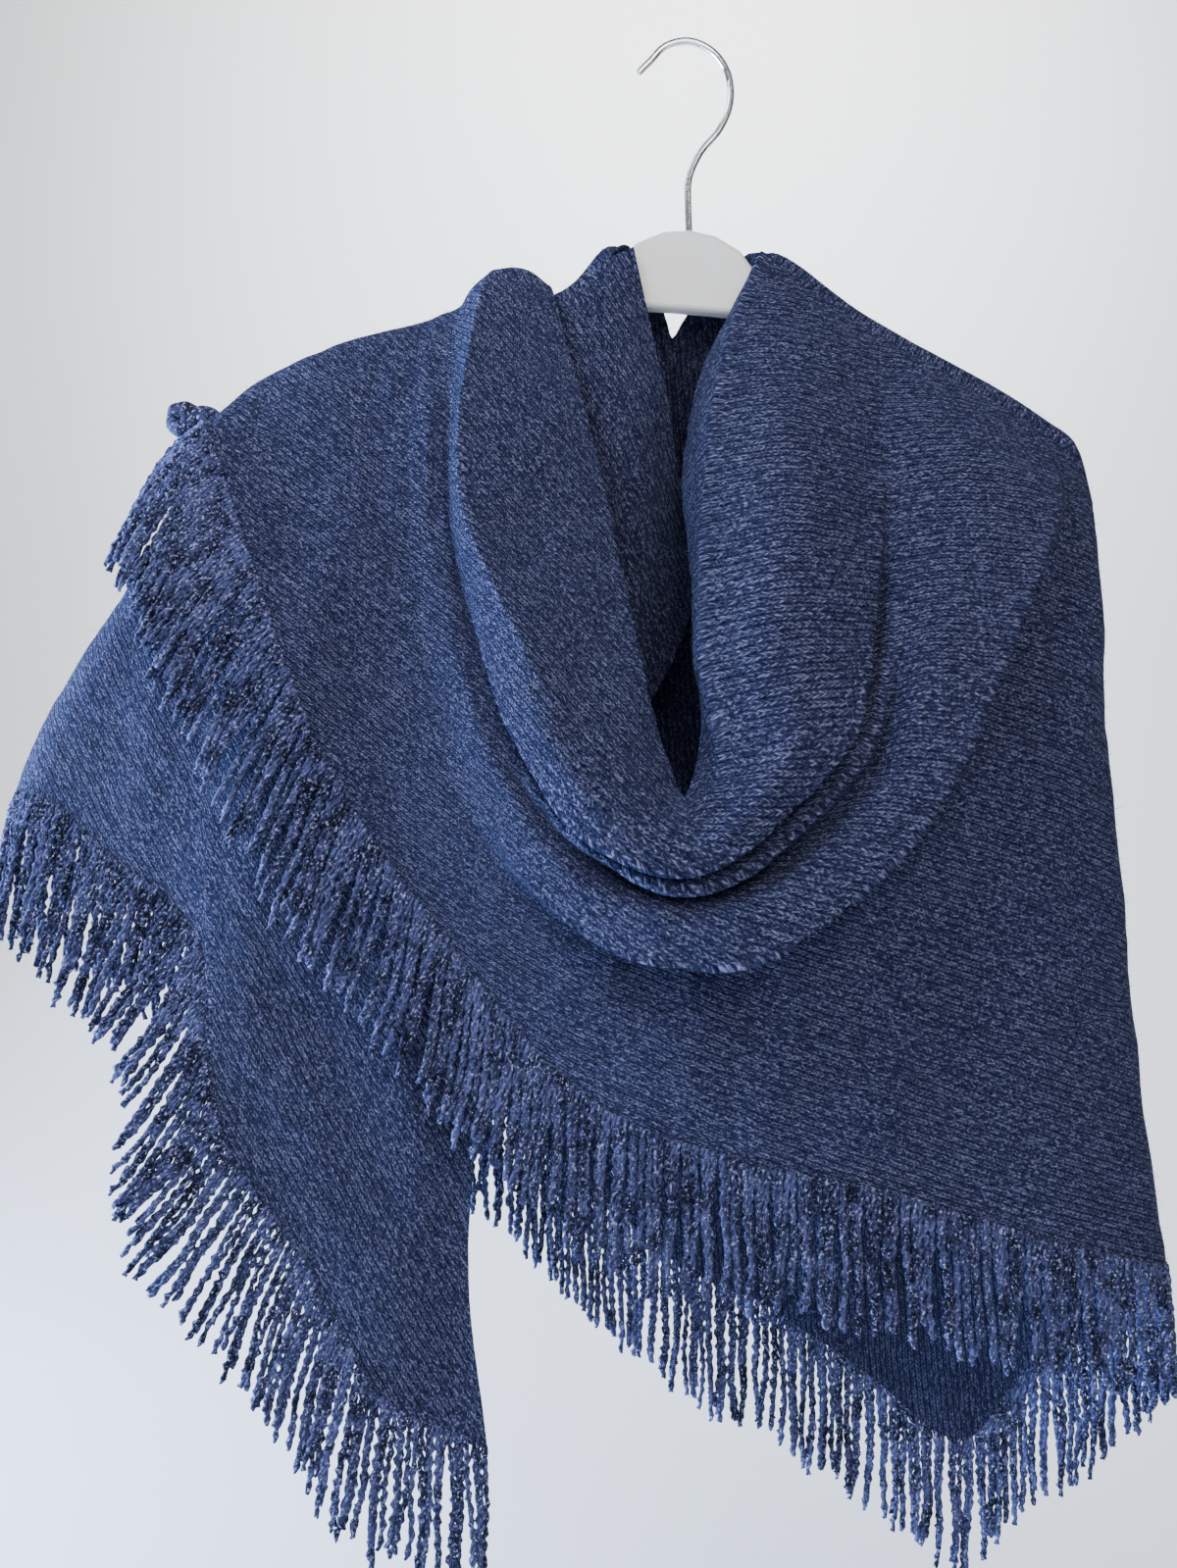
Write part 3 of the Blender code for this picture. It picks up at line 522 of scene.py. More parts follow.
def flattened(grid, every_row, every_column):
    """Lays the stretch flat at its true size, as it left the needles: each point's place there in mm."""
    rows, columns = grid.shape[:2]
    picked_rows = np.unique(np.append(np.arange(0, rows, every_row), rows - 1))
    picked_columns = np.unique(np.append(np.arange(0, columns, every_column), columns - 1))
    coarse = grid[np.ix_(picked_rows, picked_columns)]
    m, n = coarse.shape[:2]
    faces = cells(np.arange(m * n).reshape(m, n))
    data = bpy.data.meshes.new("flat pattern")
    data.from_pydata(coarse.reshape(-1, 3).tolist(), [], faces.tolist())
    data.uv_layers.new(name="flat")
    pattern = bpy.data.objects.new("flat pattern", data)
    bpy.context.scene.collection.objects.link(pattern)
    bpy.context.view_layer.objects.active = pattern
    pattern.select_set(True)
    bpy.ops.object.mode_set(mode="EDIT")
    bpy.ops.mesh.select_all(action="SELECT")
    bpy.ops.uv.unwrap(method="ANGLE_BASED", margin=0)
    bpy.ops.object.mode_set(mode="OBJECT")
    spots = np.zeros(len(data.loops) * 2)
    data.uv_layers["flat"].data.foreach_get("uv", spots)
    corners = np.zeros(len(data.loops), int)
    data.loops.foreach_get("vertex_index", corners)
    flat = np.zeros((m * n, 2))
    flat[corners] = spots.reshape(-1, 2)
    flat = flat.reshape(m, n, 2)
    bpy.data.objects.remove(pattern, do_unlink=True)
    bpy.data.meshes.remove(data)
    flat = flat * steps_length(coarse) / steps_length(flat)
    full = np.zeros((rows, columns, 2))
    for axis in (0, 1):
        wide = np.array([np.interp(np.arange(columns), picked_columns, line) for line in flat[..., axis]])
        full[..., axis] = np.array([np.interp(np.arange(rows), picked_rows, line) for line in wide.T]).T
    return full


def turned(flat, grid, row, column, direction):
    """The flat pattern turned so that the wales run in the given direction at the given point."""
    def steps_at(points):
        down = points[row + WALE_SAMPLE, column] - points[row - WALE_SAMPLE, column]
        beside = points[row, column + WALE_SAMPLE] - points[row, column - WALE_SAMPLE]
        return down, beside

    steps = np.stack(steps_at(grid), axis=1)
    share = np.linalg.lstsq(steps, np.array(direction, float), rcond=None)[0]
    flat_row, flat_column = steps_at(flat)
    run = share[0] * flat_row + share[1] * flat_column
    run /= np.linalg.norm(run)
    return np.stack([flat @ run, flat @ np.array([-run[1], run[0]])], axis=-1)


def place(name, points, faces, uv=None, normals=None, extra=None):
    """A mesh object from points in mm. Its flat pattern, where it has one, becomes UVs in metres."""
    data = bpy.data.meshes.new(name)
    data.from_pydata((np.asarray(points) * MM).tolist(), [], faces)
    data.shade_smooth()
    if uv is not None:
        corners = np.zeros(len(data.loops), int)
        data.loops.foreach_get("vertex_index", corners)
        layer = data.uv_layers.new(name="knit")
        layer.data.foreach_set("uv", (uv[corners] * MM).astype(np.float32).ravel())
    for key, values in (extra or {}).items():
        attribute = data.attributes.new(key, "FLOAT", "POINT")
        attribute.data.foreach_set("value", values.astype(np.float32))
    if normals is not None:
        data.normals_split_custom_set_from_vertices(normals.tolist())
    made = bpy.data.objects.new(name, data)
    bpy.context.scene.collection.objects.link(made)
    return made


def shell(grid, normals, thick):
    """A closed wall round the grid: its points, their normals, and the faces of both sides and the rim."""
    rows, columns = grid.shape[:2]
    half = normals * thick / 2
    points = np.concatenate([(grid + half).reshape(-1, 3), (grid - half).reshape(-1, 3)])
    both = np.concatenate([normals.reshape(-1, 3), -normals.reshape(-1, 3)])
    number = np.arange(rows * columns).reshape(rows, columns)
    outer = cells(number)
    inner = outer[:, ::-1] + rows * columns
    rim = np.concatenate([number[:, 0], number[-1, 1:], number[-2::-1, -1], number[0, -2:0:-1]])
    following = np.roll(rim, -1)
    band = np.stack([rim, rim + rows * columns, following + rows * columns, following], axis=-1)
    return points, both, [outer, inner, band]


def socket(tree, value, target):
    """Gives a socket another one's output or a plain value."""
    if isinstance(value, bpy.types.NodeSocket):
        tree.links.new(value, target)
    else:
        target.default_value = value


def calc(tree, operation, first, second=None, third=None):
    """A Math node."""
    node = tree.nodes.new("ShaderNodeMath")
    node.operation = operation
    for value, target in zip((first, second, third), node.inputs):
        if value is not None:
            socket(tree, value, target)
    return node.outputs[0]


def blend(tree, factor, first, second):
    """A colour between the first and the second."""
    node = tree.nodes.new("ShaderNodeMix")
    node.data_type = "RGBA"
    socket(tree, factor, node.inputs["Factor"])
    for value, target in ((first, node.inputs[6]), (second, node.inputs[7])):
        if isinstance(value, tuple):
            target.default_value = (*value, 1)
        else:
            tree.links.new(value, target)
    return node.outputs[2]


def object_place(tree):
    """Places in the object's own metres."""
    return tree.nodes.new("ShaderNodeTexCoord").outputs["Object"]


def noise(tree, where, scale, detail=2.0, rough=0.5):
    """Noise whose hills lie about 1 / scale apart: its outputs, with Fac and Color."""
    node = tree.nodes.new("ShaderNodeTexNoise")
    tree.links.new(where, node.inputs["Vector"])
    node.inputs["Scale"].default_value = scale
    node.inputs["Detail"].default_value = detail
    node.inputs["Roughness"].default_value = rough
    return node.outputs


def spread(tree, value, low, high, to_low=0.0, to_high=1.0):
    """The value's stretch from low to high, softly spread out from to_low to to_high."""
    node = tree.nodes.new("ShaderNodeMapRange")
    node.interpolation_type = "SMOOTHSTEP"
    for value_in, target in zip((value, low, high, to_low, to_high), node.inputs):
        socket(tree, value_in, target)
    return node.outputs[0]


def triple(tree, x, y, z=0.0):
    """A place from three numbers."""
    node = tree.nodes.new("ShaderNodeCombineXYZ")
    for value, target in zip((x, y, z), node.inputs):
        socket(tree, value, target)
    return node.outputs[0]


def new_material(name, roughness, metallic=0.0):
    """A material, its node tree and its shader."""
    made = bpy.data.materials.new(name)
    made.use_nodes = True
    shader = made.node_tree.nodes["Principled BSDF"]
    shader.inputs["Roughness"].default_value = roughness
    shader.inputs["Metallic"].default_value = metallic
    return made, made.node_tree, shader


def bump(tree, height, distance, strength, shader):
    """Lets the shader's surface rise with the height."""
    node = tree.nodes.new("ShaderNodeBump")
    node.inputs["Distance"].default_value = distance
    node.inputs["Strength"].default_value = strength
    tree.links.new(height, node.inputs["Height"])
    tree.links.new(node.outputs[0], shader.inputs["Normal"])


def soft_fibres(shader, sheen, rough, specular):
    """The dull finish of wool, with the glow of fine fibres in grazing light."""
    for name, value in (("Sheen Weight", sheen), ("Sheen Roughness", rough),
                        ("Sheen Tint", SHEEN_TINT), ("Specular IOR Level", specular)):
        shader.inputs[name].default_value = value


def knit_place(tree, where):
    """Places in the flat pattern, moved a little so that the rows aren't ruled."""
    uv = tree.nodes.new("ShaderNodeUVMap")
    uv.uv_map = "knit"
    moved = tree.nodes.new("ShaderNodeVectorMath")
    moved.operation = "MULTIPLY_ADD"
    tree.links.new(noise(tree, where, 55, 2)["Color"], moved.inputs[0])
    moved.inputs[1].default_value = (0.0015, 0.0015, 0)
    tree.links.new(uv.outputs[0], moved.inputs[2])
    return moved.outputs[0]


def knit_stitches(tree, spot, settings):
    """Slanted stitches in wales: how far each place stands up, its fibres and its stitch's own shade."""
    parts = tree.nodes.new("ShaderNodeSeparateXYZ")
    tree.links.new(spot, parts.inputs[0])
    along, across = parts.outputs[0], parts.outputs[1]
    wale = calc(tree, "DIVIDE", across, settings.wale)
    from_middle = calc(tree, "ABSOLUTE", calc(tree, "SUBTRACT", calc(tree, "FRACT", wale), 0.5))
    course = calc(tree, "MULTIPLY_ADD", from_middle, 2.7, calc(tree, "DIVIDE", along, settings.course))
    stitch = calc(tree, "SINE", calc(tree, "MULTIPLY", calc(tree, "FRACT", course), math.pi))
    off_leg = calc(tree, "MULTIPLY", calc(tree, "SUBTRACT", from_middle, 0.2), 3.6)
    leg = calc(tree, "SUBTRACT", 1.0, calc(tree, "MULTIPLY", off_leg, off_leg))
    own = tree.nodes.new("ShaderNodeTexWhiteNoise")
    own.noise_dimensions = "2D"
    legs = calc(tree, "FLOOR", calc(tree, "MULTIPLY", wale, 2.0))
    tree.links.new(triple(tree, legs, calc(tree, "FLOOR", course)), own.inputs["Vector"])
    stretched = triple(tree, calc(tree, "MULTIPLY", wale, 1.6), calc(tree, "MULTIPLY", course, 3.4))
    fibres = noise(tree, stretched, 1.0, 2, 0.6)["Fac"]
    weave = calc(tree, "MULTIPLY", leg, calc(tree, "MULTIPLY_ADD", stitch, 0.75, 0.25))
    return weave, fibres, own.outputs["Value"]


def knit_material(settings):
    """Heather knit: small slanted stitches, each of its own shade, with paler flecks, a soft nap and painted
    shade on the shell's inner side.
    """
    made, tree, shader = new_material("navy heather knit", 0.92)
    where = object_place(tree)
    spot = knit_place(tree, where)
    weave, fibres, own = knit_stitches(tree, spot, settings)
    grain = noise(tree, spot, 760, 2, 0.6)["Fac"]
    lumps = noise(tree, spot, 430, 2, 0.6)["Fac"]
    patches = noise(tree, where, 26, 3, 0.6)["Fac"]
    nap = spread(tree, patches, 0.38, 0.62, 0.15, 0.45)
    napped = calc(tree, "MULTIPLY", nap, spread(tree, lumps, 0.35, 0.65))
    height = calc(tree, "MULTIPLY_ADD", calc(tree, "SUBTRACT", 1.0, nap), weave, napped)
    height = calc(tree, "MULTIPLY_ADD", calc(tree, "SUBTRACT", fibres, 0.5), 0.7, height)
    # The tone follows the stitches' height, so the low gaps between the stitch legs come out darker: partly
    # the knit's own pattern, partly painted shade in the gaps.
    tone = calc(tree, "MULTIPLY_ADD", height, 0.52, calc(tree, "MULTIPLY", own, 0.24))
    tone = calc(tree, "ADD", tone, 0.08)
    tone = calc(tree, "MULTIPLY_ADD", calc(tree, "SUBTRACT", grain, 0.5), 1.05, tone)
    ramp = tree.nodes.new("ShaderNodeValToRGB")
    stops = ramp.color_ramp.elements
    stops[0].position, stops[0].color = 0.08, (*settings.dark, 1)
    stops[1].position, stops[1].color = 0.95, (*settings.fleck, 1)
    stops.new(0.5).color = (*settings.mid, 1)
    tree.links.new(tone, ramp.inputs[0])
    # Painted shade: the whole inner side of the shell is blended up to 0.42 of the way to the darkest yarn,
    # standing in for the shade inside the folds and the neck.
    side = tree.nodes.new("ShaderNodeAttribute")
    side.attribute_name = "inner"
    inner_painted_shade = spread(tree, side.outputs["Fac"], 0, 1, 0, 0.42)
    tree.links.new(blend(tree, inner_painted_shade, ramp.outputs[0], tuple(settings.dark)), shader.inputs["Base Color"])
    bump(tree, height, 0.0013, 0.9, shader)
    soft_fibres(shader, settings.sheen, 0.3, 0.05)
    return made


def yarn_material(name, settings, brighter):
    """Fringe yarn in the knit's colours: fine dark and brighter grain with pale flecks."""
    made, tree, shader = new_material(name, 0.9)
    where = object_place(tree)
    grain = noise(tree, where, 620, 3, 0.65)["Fac"]
    shade = noise(tree, where, 90, 2)["Fac"]
    own = tree.nodes.new("ShaderNodeAttribute")
    own.attribute_name = "shade"
    soft = calc(tree, "MULTIPLY_ADD", own.outputs["Fac"], 0.06, calc(tree, "MULTIPLY", shade, 0.5))
    tone = spread(tree, calc(tree, "MULTIPLY_ADD", grain, 0.6, soft), 0.4, 0.75)
    # The usual yarn colour lightened by the given factor; for the fringe this is painted light for the light
    # that its strands let through and scatter.
    mid = tuple(min(1.0, c * brighter) for c in settings.mid)
    colour = blend(tree, tone, tuple(settings.dark), mid)
    fleck = noise(tree, where, 640, 2, 0.6)["Fac"]
    pale = tuple(min(1.0, c * 1.3) for c in settings.fleck)
    colour = blend(tree, spread(tree, fleck, 0.56, 0.66, 0, 0.9), colour, pale)
    tree.links.new(colour, shader.inputs["Base Color"])
    bump(tree, grain, 0.0006, 0.8, shader)
    soft_fibres(shader, settings.sheen, 0.4, 0.15)
    return made


def plastic_material(colour):
    """Moulded white plastic, slightly warm, with a faint unevenness and a few fine scuffs."""
    made, tree, shader = new_material("white moulded plastic", 0.34)
    where = object_place(tree)
    cloud = noise(tree, where, 28, 3)["Fac"]
    warm = tuple(c * k for c, k in zip(colour, (0.97, 0.95, 0.91)))
    shades = blend(tree, spread(tree, cloud, 0.35, 0.65), tuple(colour), warm)
    tree.links.new(shades, shader.inputs["Base Color"])
    scuff = noise(tree, where, 240, 4, 0.7)["Fac"]
    tree.links.new(spread(tree, scuff, 0.3, 0.75, 0.28, 0.46), shader.inputs["Roughness"])
    bump(tree, cloud, 0.0004, 0.35, shader)
    shader.inputs["Coat Weight"].default_value = 0.25
    shader.inputs["Coat Roughness"].default_value = 0.12
    return made


def chrome_material():
    """Polished wire with fine drawing lines and slight tarnish."""
    made, tree, shader = new_material("polished chrome wire", 0.12, 1.0)
    where = object_place(tree)
    cloud = noise(tree, where, 90, 3)["Fac"]
    tree.links.new(blend(tree, cloud, (0.76, 0.76, 0.77), (0.9, 0.9, 0.9)), shader.inputs["Base Color"])
    fine = noise(tree, where, 1400, 2)["Fac"]
    tree.links.new(spread(tree, fine, 0.3, 0.7, 0.08, 0.22), shader.inputs["Roughness"])
    bump(tree, fine, 0.0001, 0.2, shader)
    return made


class ShawlKnit(bpy.types.PropertyGroup):
    """Sizes and colours of the knit."""
    thickness: bpy.props.FloatProperty(
        name="Cloth thickness", description="Thickness of the knit", default=0.0024, unit="LENGTH")
    wale: bpy.props.FloatProperty(
        name="Wale", description="Width of one column of stitches", default=0.0033, unit="LENGTH")
    course: bpy.props.FloatProperty(
        name="Course", description="Height of one row of stitches", default=0.0025, unit="LENGTH")
    nap_hairs: bpy.props.IntProperty(
        name="Nap hairs", description="Number of loose fibres that stand up from the cloth", default=42000)
    sheen: bpy.props.FloatProperty(
        name="Sheen", description="Glow of the loose fibres in grazing light", default=0.05, subtype="FACTOR")
    dark: bpy.props.FloatVectorProperty(
        name="Dark yarn", description="Darkest yarn colour", default=(0.0035, 0.0045, 0.014), subtype="COLOR")
    mid: bpy.props.FloatVectorProperty(
        name="Yarn", description="Usual yarn colour", default=(0.031, 0.035, 0.082), subtype="COLOR")
    fleck: bpy.props.FloatVectorProperty(
        name="Fleck", description="Colour of the pale flecks", default=(0.26, 0.265, 0.43), subtype="COLOR")


class ShawlFringe(bpy.types.PropertyGroup):
    """Sizes of the fringe."""
    spacing: bpy.props.FloatProperty(
        name="Spacing", description="Distance between strands along the hem", default=0.0030, unit="LENGTH")
    ply_radius: bpy.props.FloatProperty(
        name="Ply radius", description="Radius of each of a strand's two plies", default=0.00104,
        unit="LENGTH")
    crimp: bpy.props.FloatProperty(
        name="Crimp", description="How far a strand waves to each side", default=0.00045, unit="LENGTH")
    wave: bpy.props.FloatProperty(
        name="Wave", description="Length of one wave of a strand", default=0.0068, unit="LENGTH")


class ShawlHanger(bpy.types.PropertyGroup):
    """Finish of the hanger."""
    plastic: bpy.props.FloatVectorProperty(
        name="Plastic", description="Colour of the hanger's body", default=(0.80, 0.78, 0.73),
        subtype="COLOR")


class ShawlStage(bpy.types.PropertyGroup):
    """Floor, light and camera."""
    floor_height: bpy.props.FloatProperty(
        name="Floor height", description="Height of the floor below the hook", default=-1.06, unit="LENGTH")
    window: bpy.props.FloatProperty(
        name="Window", description="Strength of the soft light from the left", default=27.0, unit="POWER")
    side: bpy.props.FloatProperty(
        name="Side", description="Strength of the cool light past the left edge", default=130.0, unit="POWER")
    fill: bpy.props.FloatProperty(
        name="Fill", description="Strength of the soft light from the front", default=35.0, unit="POWER")
    wash: bpy.props.FloatProperty(
        name="Wash", description="Strength of the light on the wall behind", default=108.0, unit="POWER")


class SHAWL_OT_cloth(bpy.types.Operator):
    """Knits the wrap, the tail and the back as one thin shell"""
    bl_idname = "shawl.cloth"
    bl_label = "Knit the cloth"

    def execute(self, context):
        settings = context.scene.shawl_knit
        grids = joined_grids()
        normals = matched_normals(*grids)
        points, sides, faces, uv, inner, count = [], [], [], [], [], 0
        for k, (every_row, every_column, row, column, direction) in enumerate(WALES):
            grid = grids[k]
            flat = turned(flattened(grid, every_row, every_column), grid, row, column, direction)
            flat += np.array([k * PATTERN_GAP, 0])
            wall_points, wall_normals, wall_faces = shell(grid, normals[k], settings.thickness / MM)
            for part in wall_faces:
                faces += ((part[:, ::-1] if k else part) + count).tolist()
            points.append(wall_points)
            sides.append(wall_normals)
            uv.append(np.concatenate([flat.reshape(-1, 2)] * 2))
            size = len(wall_points)
            # 1 on the shell's inner side, where the knit's material paints shade.
            inner.append(np.repeat([0.0, 1.0], size // 2))
            count += size
        cloth = place("shawl_cloth", np.concatenate(points), faces, np.concatenate(uv),
                      np.concatenate(sides), {"inner": np.concatenate(inner)})
        cloth.data.materials.append(knit_material(settings))
        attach(cloth, "root")
        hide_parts("shawl_wrap", "shawl_tail", "shawl_back")
        return {"FINISHED"}


class SHAWL_OT_nap(bpy.types.Operator):
    """Raises the loose fibres that give the knit its soft outline"""
    bl_idname = "shawl.nap"
    bl_label = "Raise the nap"

    def execute(self, context):
        settings = context.scene.shawl_knit
        rng = np.random.default_rng(RNG_SEED)
        grids = joined_grids()
        normals = matched_normals(*grids)
        roots, ups, tangents, areas = [], [], [], []
        for grid in grids:
            down = np.diff(grid, axis=0)[:, :-1]
            beside = np.diff(grid, axis=1)[:-1]
            areas.append(np.linalg.norm(np.cross(down, beside), axis=2))
        whole = sum(area.sum() for area in areas)
        for grid, normal, area in zip(grids, normals, areas):
            count = int(settings.nap_hairs * area.sum() / whole)
            share = (area / area.sum()).ravel()
            picked = rng.choice(len(share), count, p=share)
            i, j = picked // area.shape[1], picked % area.shape[1]
            u, v = rng.random((2, count, 1))
            spot = (grid[i, j] * (1 - u) + grid[i + 1, j] * u) * (1 - v) + (
                grid[i, j + 1] * (1 - u) + grid[i + 1, j + 1] * u) * v
            side = np.where(rng.random((count, 1)) < NAP_OUTSIDE, 1.0, -1.0)
            up = normal[i, j] * side
            roots.append(spot + up * settings.thickness / MM * NAP_ROOT)
            ups.append(up)
            tangent = rng.normal(size=(count, 3))
            tangent -= up * (tangent * up).sum(1, keepdims=True)
            tangents.append(unit(tangent))
        root, up, lean = map(np.concatenate, (roots, ups, tangents))
        count = len(root)
        length = rng.gamma(4.0, 0.75, (count, 1)) + NAP_LEAST
        rise = rng.uniform(0.25, 1.0, (count, 1))
        tip_turn = np.cross(up, lean) * rng.normal(0, 0.8, (count, 1))
        middle = root + length * (0.5 * lean + 0.45 * rise * up)
        tip = root + length * (0.75 * lean + 0.6 * rise * up + 0.35 * tip_turn)
        flat = np.cross(lean, up) * NAP_HALF_WIDTH
        points = np.stack([root - flat, root + flat, middle - flat * 0.8, middle + flat * 0.8, tip], axis=1)
        base = np.arange(count)[:, None] * 5
        quads = (base + np.array([[0, 1, 3, 2]])).tolist()
        tips = (base + np.array([[2, 3, 4]])).tolist()
        hairs = place("shawl_nap", points.reshape(-1, 3), quads + tips)
        hairs.data.materials.append(yarn_material("loose fibres", settings, NAP_BRIGHTER))
        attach(hairs, "root")
        return {"FINISHED"}


def hem_path(line, before, hangs, steps, normals, spacing, rng):
    """Places along a hem, spread with a small jitter: the root, outward, along, face and hang of each."""
    hang = spline(hangs, steps)
    run = np.concatenate([[0], np.cumsum(np.linalg.norm(np.diff(line, axis=0), axis=1))])
    count = max(2, int(run[-1] / spacing))
    at = (np.arange(count) + 0.5 + rng.uniform(-0.22, 0.22, count)) * run[-1] / count

    def pick(values):
        return np.stack([np.interp(at, run, values[:, k]) for k in range(3)], axis=1)

    along = unit(np.gradient(line, axis=0))
    return [pick(values) for values in (line, unit(line - before), along, normals, hang)]


def strand_paths(root, out, along, face, hang, settings, rng):
    """The middle line of each strand: over the hem, down, and drawn into small uneven tufts."""
    count = len(root)
    t = np.linspace(0, 1, STRAND_STEPS)[None, :, None]
    length = np.linalg.norm(hang, axis=1)
    reach = length * rng.normal(1.0, 0.07, count).clip(0.8, 1.12)
    straight = hang / length[:, None]
    tuft = np.repeat(np.arange(count), rng.choice(TUFT_SIZES, count))[:count]
    tufts = tuft.max() + 1
    drift = rng.normal(0, 1.9, (tufts, 1))[tuft] + rng.normal(0, 0.6, (count, 1))
    layer = np.where(np.arange(count) % 2, 1.9, -0.7)[:, None]
    lift = np.abs(rng.normal(0, 1.4, (tufts, 1)))[tuft] + layer
    middle = np.zeros((tufts, 3))
    np.add.at(middle, tuft, root)
    middle /= np.bincount(tuft, minlength=tufts)[:, None]
    gather = (middle[tuft] - root) * rng.uniform(*TUFT_GATHER, (count, 1))
    start = root - out * HEM_REACH + face * 0.6
    bend = start + (out + straight) * reach[:, None] * BEND_AT + face * 1.2 + gather * 0.9
    end = root + straight * reach[:, None] + along * drift + gather + face * lift
    path = (1 - t) ** 2 * start[:, None] + 2 * t * (1 - t) * bend[:, None] + t ** 2 * end[:, None]
    waves = reach[:, None, None] / (settings.wave / MM) * rng.uniform(0.8, 1.25, (count, 1, 1))
    phase = rng.uniform(0, FULL_TURN, (4, count, 1, 1))
    crimp = settings.crimp / MM * rng.uniform(0.6, 1.5, (count, 1, 1)) * np.minimum(t * 5, 1)

    def wave(faster, k):
        return np.sin(FULL_TURN * waves * faster * t + phase[k])

    sway = wave(1, 0) + 0.5 * wave(1.9, 1)
    nod = wave(0.83, 2) + 0.5 * wave(2.2, 3)
    turns = rng.uniform(0.9, 1.9, (tufts, 1, 1)) * t + rng.random((tufts, 1, 1))
    slow = (np.sin(FULL_TURN * turns) * 1.5 * t)[tuft]
    return path + along[:, None] * (crimp * sway + slow) + face[:, None] * crimp * nod * 0.8


def plied(paths, along, settings, rng):
    """Two plies twisted round each middle line, each a tube of uneven thickness."""
    count, steps = paths.shape[:2]
    radius = settings.ply_radius / MM
    sides = PLY_SIDES
    forward = unit(np.gradient(paths, axis=1))
    first = unit(along[:, None] - forward * (forward * along[:, None]).sum(2, keepdims=True))
    second = np.cross(forward, first)
    run = np.cumsum(np.linalg.norm(np.diff(paths, axis=1, prepend=paths[:, :1]), axis=2), axis=1)
    twist = run / (rng.uniform(*TWIST, (count, 1)) / FULL_TURN) + rng.uniform(0, FULL_TURN, (count, 1))
    rounds = np.arange(sides) * FULL_TURN / sides
    ring = first[:, :, None] * np.cos(rounds)[:, None] + second[:, :, None] * np.sin(rounds)[:, None]
    points, faces, made = [], [], 0
    for ply in (0, math.pi):
        turn = (twist + ply)[..., None]
        apart = radius * rng.uniform(0.55, 0.95, (count, steps, 1))
        middle = paths + (first * np.cos(turn) + second * np.sin(turn)) * apart
        thick = radius * (1 + 0.2 * rng.normal(size=(count, steps))).clip(0.6, 1.5)
        thick[:, -1] *= 0.8
        wall = middle[:, :, None] + ring * thick[..., None, None]
        number = np.arange(count * steps * sides).reshape(count, steps, sides) + made
        faces += tube_cells(number).tolist()
        faces += number[:, -1].tolist()
        faces += number[:, 0, ::-1].tolist()
        points.append(wall.reshape(-1, 3))
        made += count * steps * sides
    return np.concatenate(points), faces


def fuzz(paths, rng):
    """Short loose fibres that stand out from each strand, each one thin triangle."""
    count, steps = paths.shape[:2]
    strand = np.repeat(np.arange(count), HAIRS_PER_STRAND)
    step = rng.integers(1, steps, len(strand))
    root = paths[strand, step]
    reach = unit(rng.normal(size=(len(strand), 3)))
    reach *= rng.uniform(*HAIR_LENGTH, (len(strand), 1))
    side = unit(np.cross(reach, rng.normal(size=(len(strand), 3)))) * HAIR_HALF_WIDTH
    points = np.stack([root - side, root + side, root + reach], axis=1).reshape(-1, 3)
    return points, np.arange(len(points)).reshape(-1, 3)


def hems():
    """Each stretch of hem: its fringe's node, its edge, the row before, how it hangs, steps and normals."""
    grids = joined_grids()
    wrap_n, tail_n, back_n = matched_normals(*grids)
    wrap, tail, back = grids
    valley = sum(TAIL_ACROSS[:TAIL_VALLEY])
    point = sum(BACK_ACROSS[:BACK_POINT])
    side_hang = (TAIL_HANG[-1], *SIDE_HANG)
    lower = (
        ("fringe_tail", tail, tail_n, slice(0, valley + 1), TAIL_HANG, TAIL_ACROSS[:TAIL_VALLEY]),
        ("fringe_side", tail, tail_n, slice(valley, None), side_hang, TAIL_ACROSS[TAIL_VALLEY:]),
        ("fringe_back_left", back, back_n, slice(0, point + 1), BACK_LEFT_HANG, BACK_ACROSS[:BACK_POINT]),
        ("fringe_back_right", back, back_n, slice(point, None), BACK_RIGHT_HANG, BACK_ACROSS[BACK_POINT:]),
    )
    wrap_steps = [WRAP_ALONG] * (len(WRAP_HANG) - 1)
    yield "fringe_wrap", wrap[:, -1], wrap[:, -2], WRAP_HANG, wrap_steps, wrap_n[:, -1]
    for node, grid, normals, part, hangs, steps in lower:
        yield node, grid[-1, part], grid[-2, part], hangs, steps, normals[-1, part]


class SHAWL_OT_fringe(bpy.types.Operator):
    """Ties the two-ply crimped strands along each hem"""
    bl_idname = "shawl.fringe"
    bl_label = "Tie the fringe"

    def execute(self, context):
        settings = context.scene.shawl_fringe
        knit = context.scene.shawl_knit
        rng = np.random.default_rng(RNG_SEED + 1)
        yarn = yarn_material("navy fringe yarn", knit, FRINGE_BRIGHTER)
        for node, line, before, hangs, steps, normals in hems():
            places = hem_path(line, before, hangs, steps, normals, settings.spacing / MM, rng)
            paths = strand_paths(*places, settings, rng)
            along = places[ALONG]
            if node == "fringe_wrap":
                end = CORNER_STATIONS * WRAP_ALONG + 1
                more = hem_path(line[-end:], before[-end:], hangs[-CORNER_STATIONS - 1:],
                                steps[-CORNER_STATIONS:], normals[-end:],
                                settings.spacing / MM * CORNER_SPACING, rng)
                paths = np.concatenate([paths, strand_paths(*more, settings, rng)])
                along = np.concatenate([along, more[ALONG]])
            points, faces = plied(paths, along, settings, rng)
            hairs, hair_faces = fuzz(paths, rng)
            faces += (hair_faces + len(points)).tolist()
            shade = rng.uniform(-1, 1, len(paths))
            one_ply = np.repeat(shade, len(points) // len(paths) // 2)
            shades = np.concatenate([one_ply, one_ply, np.repeat(shade, len(hairs) // len(paths))])
            points = np.concatenate([points, hairs])
            strands = place(node + "_strands", points, faces, extra={"shade": shades})
            strands.data.materials.append(yarn)
            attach(strands, "root")
            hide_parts(node)
        return {"FINISHED"}


